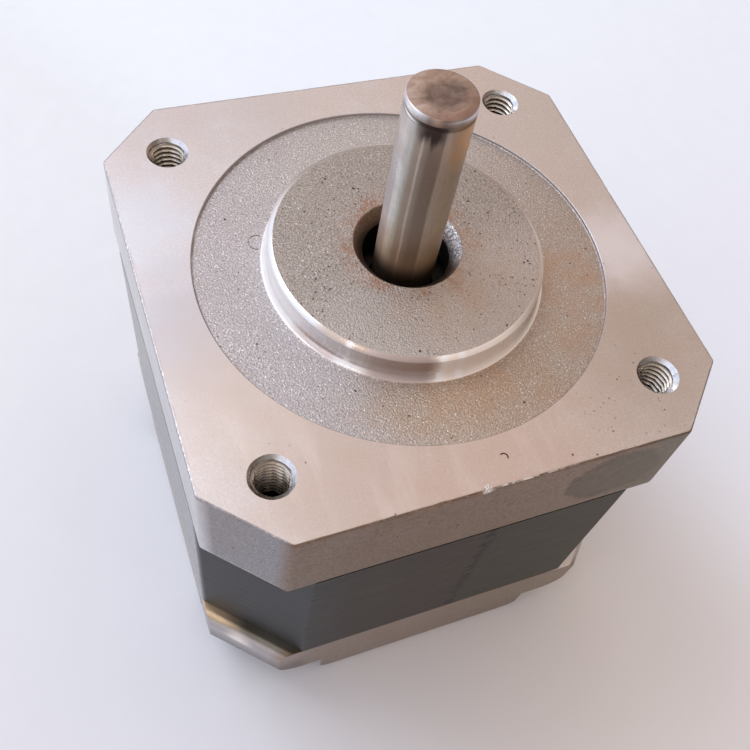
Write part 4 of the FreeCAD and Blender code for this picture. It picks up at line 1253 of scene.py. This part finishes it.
def softened(node, name, width, mat, body, slot, rounded=()):
    """Copy of a CAD node with its sharp edges broken, which stands for the node.

    Each pair in rounded is a test that picks edges, by their two ends in mm, and the rounding they take.
    """
    source = frame["nodes"][node]
    mesh = source.data.copy()
    mesh.name = name
    mesh.transform(source.matrix_world)
    work = bmesh.new()
    work.from_mesh(mesh)
    bmesh.ops.remove_doubles(work, verts=work.verts, dist=1e-6)
    bmesh.ops.dissolve_limit(work, angle_limit=math.radians(1.0), verts=work.verts, edges=work.edges)
    for pick, round_width in rounded:
        sharp = [e for e in work.edges if len(e.link_faces) == 2 and e.calc_face_angle() > SHARP_ANGLE]
        chosen = [e for e in sharp if pick(*(v.co / MM for v in e.verts))]
        bmesh.ops.bevel(work, geom=chosen, offset=round_width * MM, segments=6, profile=0.5, affect="EDGES",
                        clamp_overlap=True)
    work.to_mesh(mesh)
    work.free()
    obj = bpy.data.objects.new(name, mesh)
    bpy.context.scene.collection.objects.link(obj)
    bevelled(obj, width)
    obj.data.materials.clear()
    obj.data.materials.append(mat)
    obj.data.polygons.foreach_set("material_index", [0] * len(obj.data.polygons))
    smooth(obj, 40.0)
    return settle(obj, body, slot, node)


def on_cut_corner(a, b):
    """Whether an edge of the rear cover runs across one of its cut corners."""
    outside = min(abs(p.x) + abs(p.y) for p in (a, b)) > COVER_CUT_SUM
    return outside and min(abs(a.x - b.x), abs(a.y - b.y)) > 2.0


def cover_corner_top(a, b):
    """Upper outer edges of the rear cover's cut corners."""
    return min(a.z, b.z) > STACK_LOW - 0.1 and on_cut_corner(a, b)


def cover_corner_low(a, b):
    """Lower outer edges of the cut corners, above the corner pads."""
    return abs(a.z - b.z) < 0.05 and a.z < STACK_LOW - 3.0 and on_cut_corner(a, b)


softened(COVER, "rear_cover", 0.15, MATS["cover"], "housing", "cast_aluminium",
         ((cover_corner_top, 1.0), (cover_corner_low, 1.8)))
softened("connector_housing", "header_shell", 0.08, MATS["connector"], "housing", "connector_plastic")
softened("connector_board", "header_board", 0.04, MATS["board"], "housing", "board_laminate")

FINISH = {
    "front_slot_insulator": "insulator", "rear_slot_insulator": "insulator",
    "preload_washer": "spring", "body_screws": "screw", "connector_pins": "tin",
    "front_rotor_cup": "rotor", "rear_rotor_cup": "rotor", "rotor_magnet": "magnet",
    "front_rotor_spacer": "spacer", "rear_rotor_spacer": "spacer",
}
for i in range(8):
    FINISH["coil_%d" % (i + 1)] = "copper"
for place in ("front", "rear"):
    FINISH[place + "_bearing_outer_ring"] = "ring"
    FINISH[place + "_bearing_inner_ring"] = "ring"
    FINISH[place + "_bearing_balls"] = "ball"
    FINISH[place + "_bearing_cage"] = "cage"
    FINISH[place + "_bearing_seals"] = "seal"
FINISH["front_bearing_inner_ring"] = "race"
for node, key in FINISH.items():
    obj = frame["nodes"][node]
    if not obj.data.materials:
        obj.data.materials.append(MATS[key])
    for entry in obj.material_slots:
        entry.material = MATS[key]


# ---------------------------------------------------------------- floor, light and camera

def stage_floor():
    s = Shade("floor_paper")
    fine = s.noise(0.35, 4.0, 0.6)
    cloud = s.noise(0.012, 3.0, 0.5, seed=3.0)
    near = s.fade(s.along(0.35, -0.94), -70.0, 60.0)
    s.tone = s.mottle(fine, (236, 241, 246), (239, 244, 249))
    # painted shade: the paper a little darker towards the front right
    s.over(near, (231, 228, 236), 0.7)
    # painted shadow: a warm, darker patch in front of the motor on the right
    warm = s.spot((20.0, -32.0, REAR_Z), 26.0, 0.8, 0.15, 0.02)
    s.over(warm, (238, 226, 212), 0.5)
    s.veil(cloud, 0.4, 0.7, (236, 236, 240), 0.25)
    # painted light: the paper glows a little brighter and bluer on the right, away from the motor
    right = s.fade(s.along(0.86, 0.5), 12.0, 34.0, 0.07)
    s.bsdf.inputs["Emission Color"].default_value = (0.78, 1.0, 1.30, 1.0)
    s.put(s.bsdf.inputs["Emission Strength"], right)
    s.done(s.spread(fine, 0.6, 0.7), fine, 0.1, 0.05)
    half = 1500.0
    signs = ((-1, -1), (1, -1), (1, 1), (-1, 1))
    verts = [Vector((sx * half, sy * half, REAR_Z)) * MM for sx, sy in signs]
    obj = new_object("floor", verts, [(0, 1, 2, 3)], [s.mat])


def panel(name, at, size, power, colour):
    """Soft area light that faces the motor."""
    light = bpy.data.lights.new(name, "AREA")
    light.shape = "RECTANGLE"
    light.size, light.size_y = size
    light.energy = power
    light.color = colour
    obj = bpy.data.objects.new(name, light)
    obj.location = at
    obj.rotation_euler = (Vector((0, 0, 0)) - Vector(at)).to_track_quat("-Z", "Y").to_euler()
    bpy.context.scene.collection.objects.link(obj)


def sky():
    """Soft surroundings: cool and bright behind on the left, and dim low in front and on the right."""
    world = bpy.data.worlds.new("studio")
    world.use_nodes = True
    bpy.context.scene.world = world
    nodes, links = world.node_tree.nodes, world.node_tree.links
    coords = nodes.new("ShaderNodeTexCoord")

    def weight(direction, lo, hi):
        dot = nodes.new("ShaderNodeVectorMath")
        dot.operation = "DOT_PRODUCT"
        links.new(coords.outputs["Generated"], dot.inputs[0])
        dot.inputs[1].default_value = Vector(direction).normalized()
        m = nodes.new("ShaderNodeMapRange")
        m.interpolation_type = "SMOOTHSTEP"
        m.inputs["From Min"].default_value = lo
        m.inputs["From Max"].default_value = hi
        links.new(dot.outputs["Value"], m.inputs["Value"])
        return m.outputs["Result"]

    def mixed(fac, a, b):
        n = nodes.new("ShaderNodeMix")
        n.data_type = "RGBA"
        links.new(fac, n.inputs["Factor"])
        for socket, value in ((n.inputs[6], a), (n.inputs[7], b)):
            if isinstance(value, bpy.types.NodeSocket):
                links.new(value, socket)
            else:
                socket.default_value = value
        return n.outputs[2]

    colour = mixed(weight((0.5, -0.75, -0.1), -0.2, 0.9), (0.97, 0.83, 0.76, 1), (0.28, 0.24, 0.21, 1))
    colour = mixed(weight((0.75, 0.45, 0.5), 0.80, 0.99), colour, (0.66, 0.54, 0.46, 1))
    colour = mixed(weight((-0.75, 0.25, 0.35), 0.2, 0.95), colour, (1.00, 1.04, 1.18, 1))
    colour = mixed(weight((-0.35, 0.62, 0.70), 0.80, 0.98), colour, (0.98, 1.06, 1.30, 1))
    back = nodes["Background"]
    links.new(colour, back.inputs["Color"])
    back.inputs["Strength"].default_value = 1.0


def photo_camera():
    location = Vector((-24.022, -40.085, 54.892)) * MM
    target = Vector((-5.586, -11.266, 0.0)) * MM
    roll = math.radians(14.76)
    back = (location - target).normalized()
    level = Vector((0, 0, 1)).cross(back).normalized()
    upward = back.cross(level)
    right = level * math.cos(roll) + upward * math.sin(roll)
    up = back.cross(right)
    data = bpy.data.cameras.new("photo_camera")
    data.lens = 42.5
    data.sensor_width = 36.0
    data.shift_x = -0.0160
    data.shift_y = 0.0219
    data.clip_start = 0.002
    data.clip_end = 20.0
    cam = bpy.data.objects.new("photo_camera", data)
    cam.matrix_world = Matrix((right, up, back)).transposed().to_4x4()
    cam.location = location
    bpy.context.scene.collection.objects.link(cam)
    bpy.context.scene.camera = cam


stage_floor()
sky()
panel("window_light", (-0.17, 0.20, 0.34), (0.22, 0.20), 0.46, (0.92, 0.97, 1.0))
panel("ceiling_light_left", (-0.20, -0.118, 0.447), (0.028, 0.028), 0.03, (1.0, 0.98, 0.96))
panel("ceiling_light_right", (0.135, -0.248, 0.418), (0.034, 0.034), 0.035, (1.0, 0.97, 0.92))
photo_camera()
view = bpy.context.scene.view_settings
view.view_transform = "Standard"
view.look = "None"
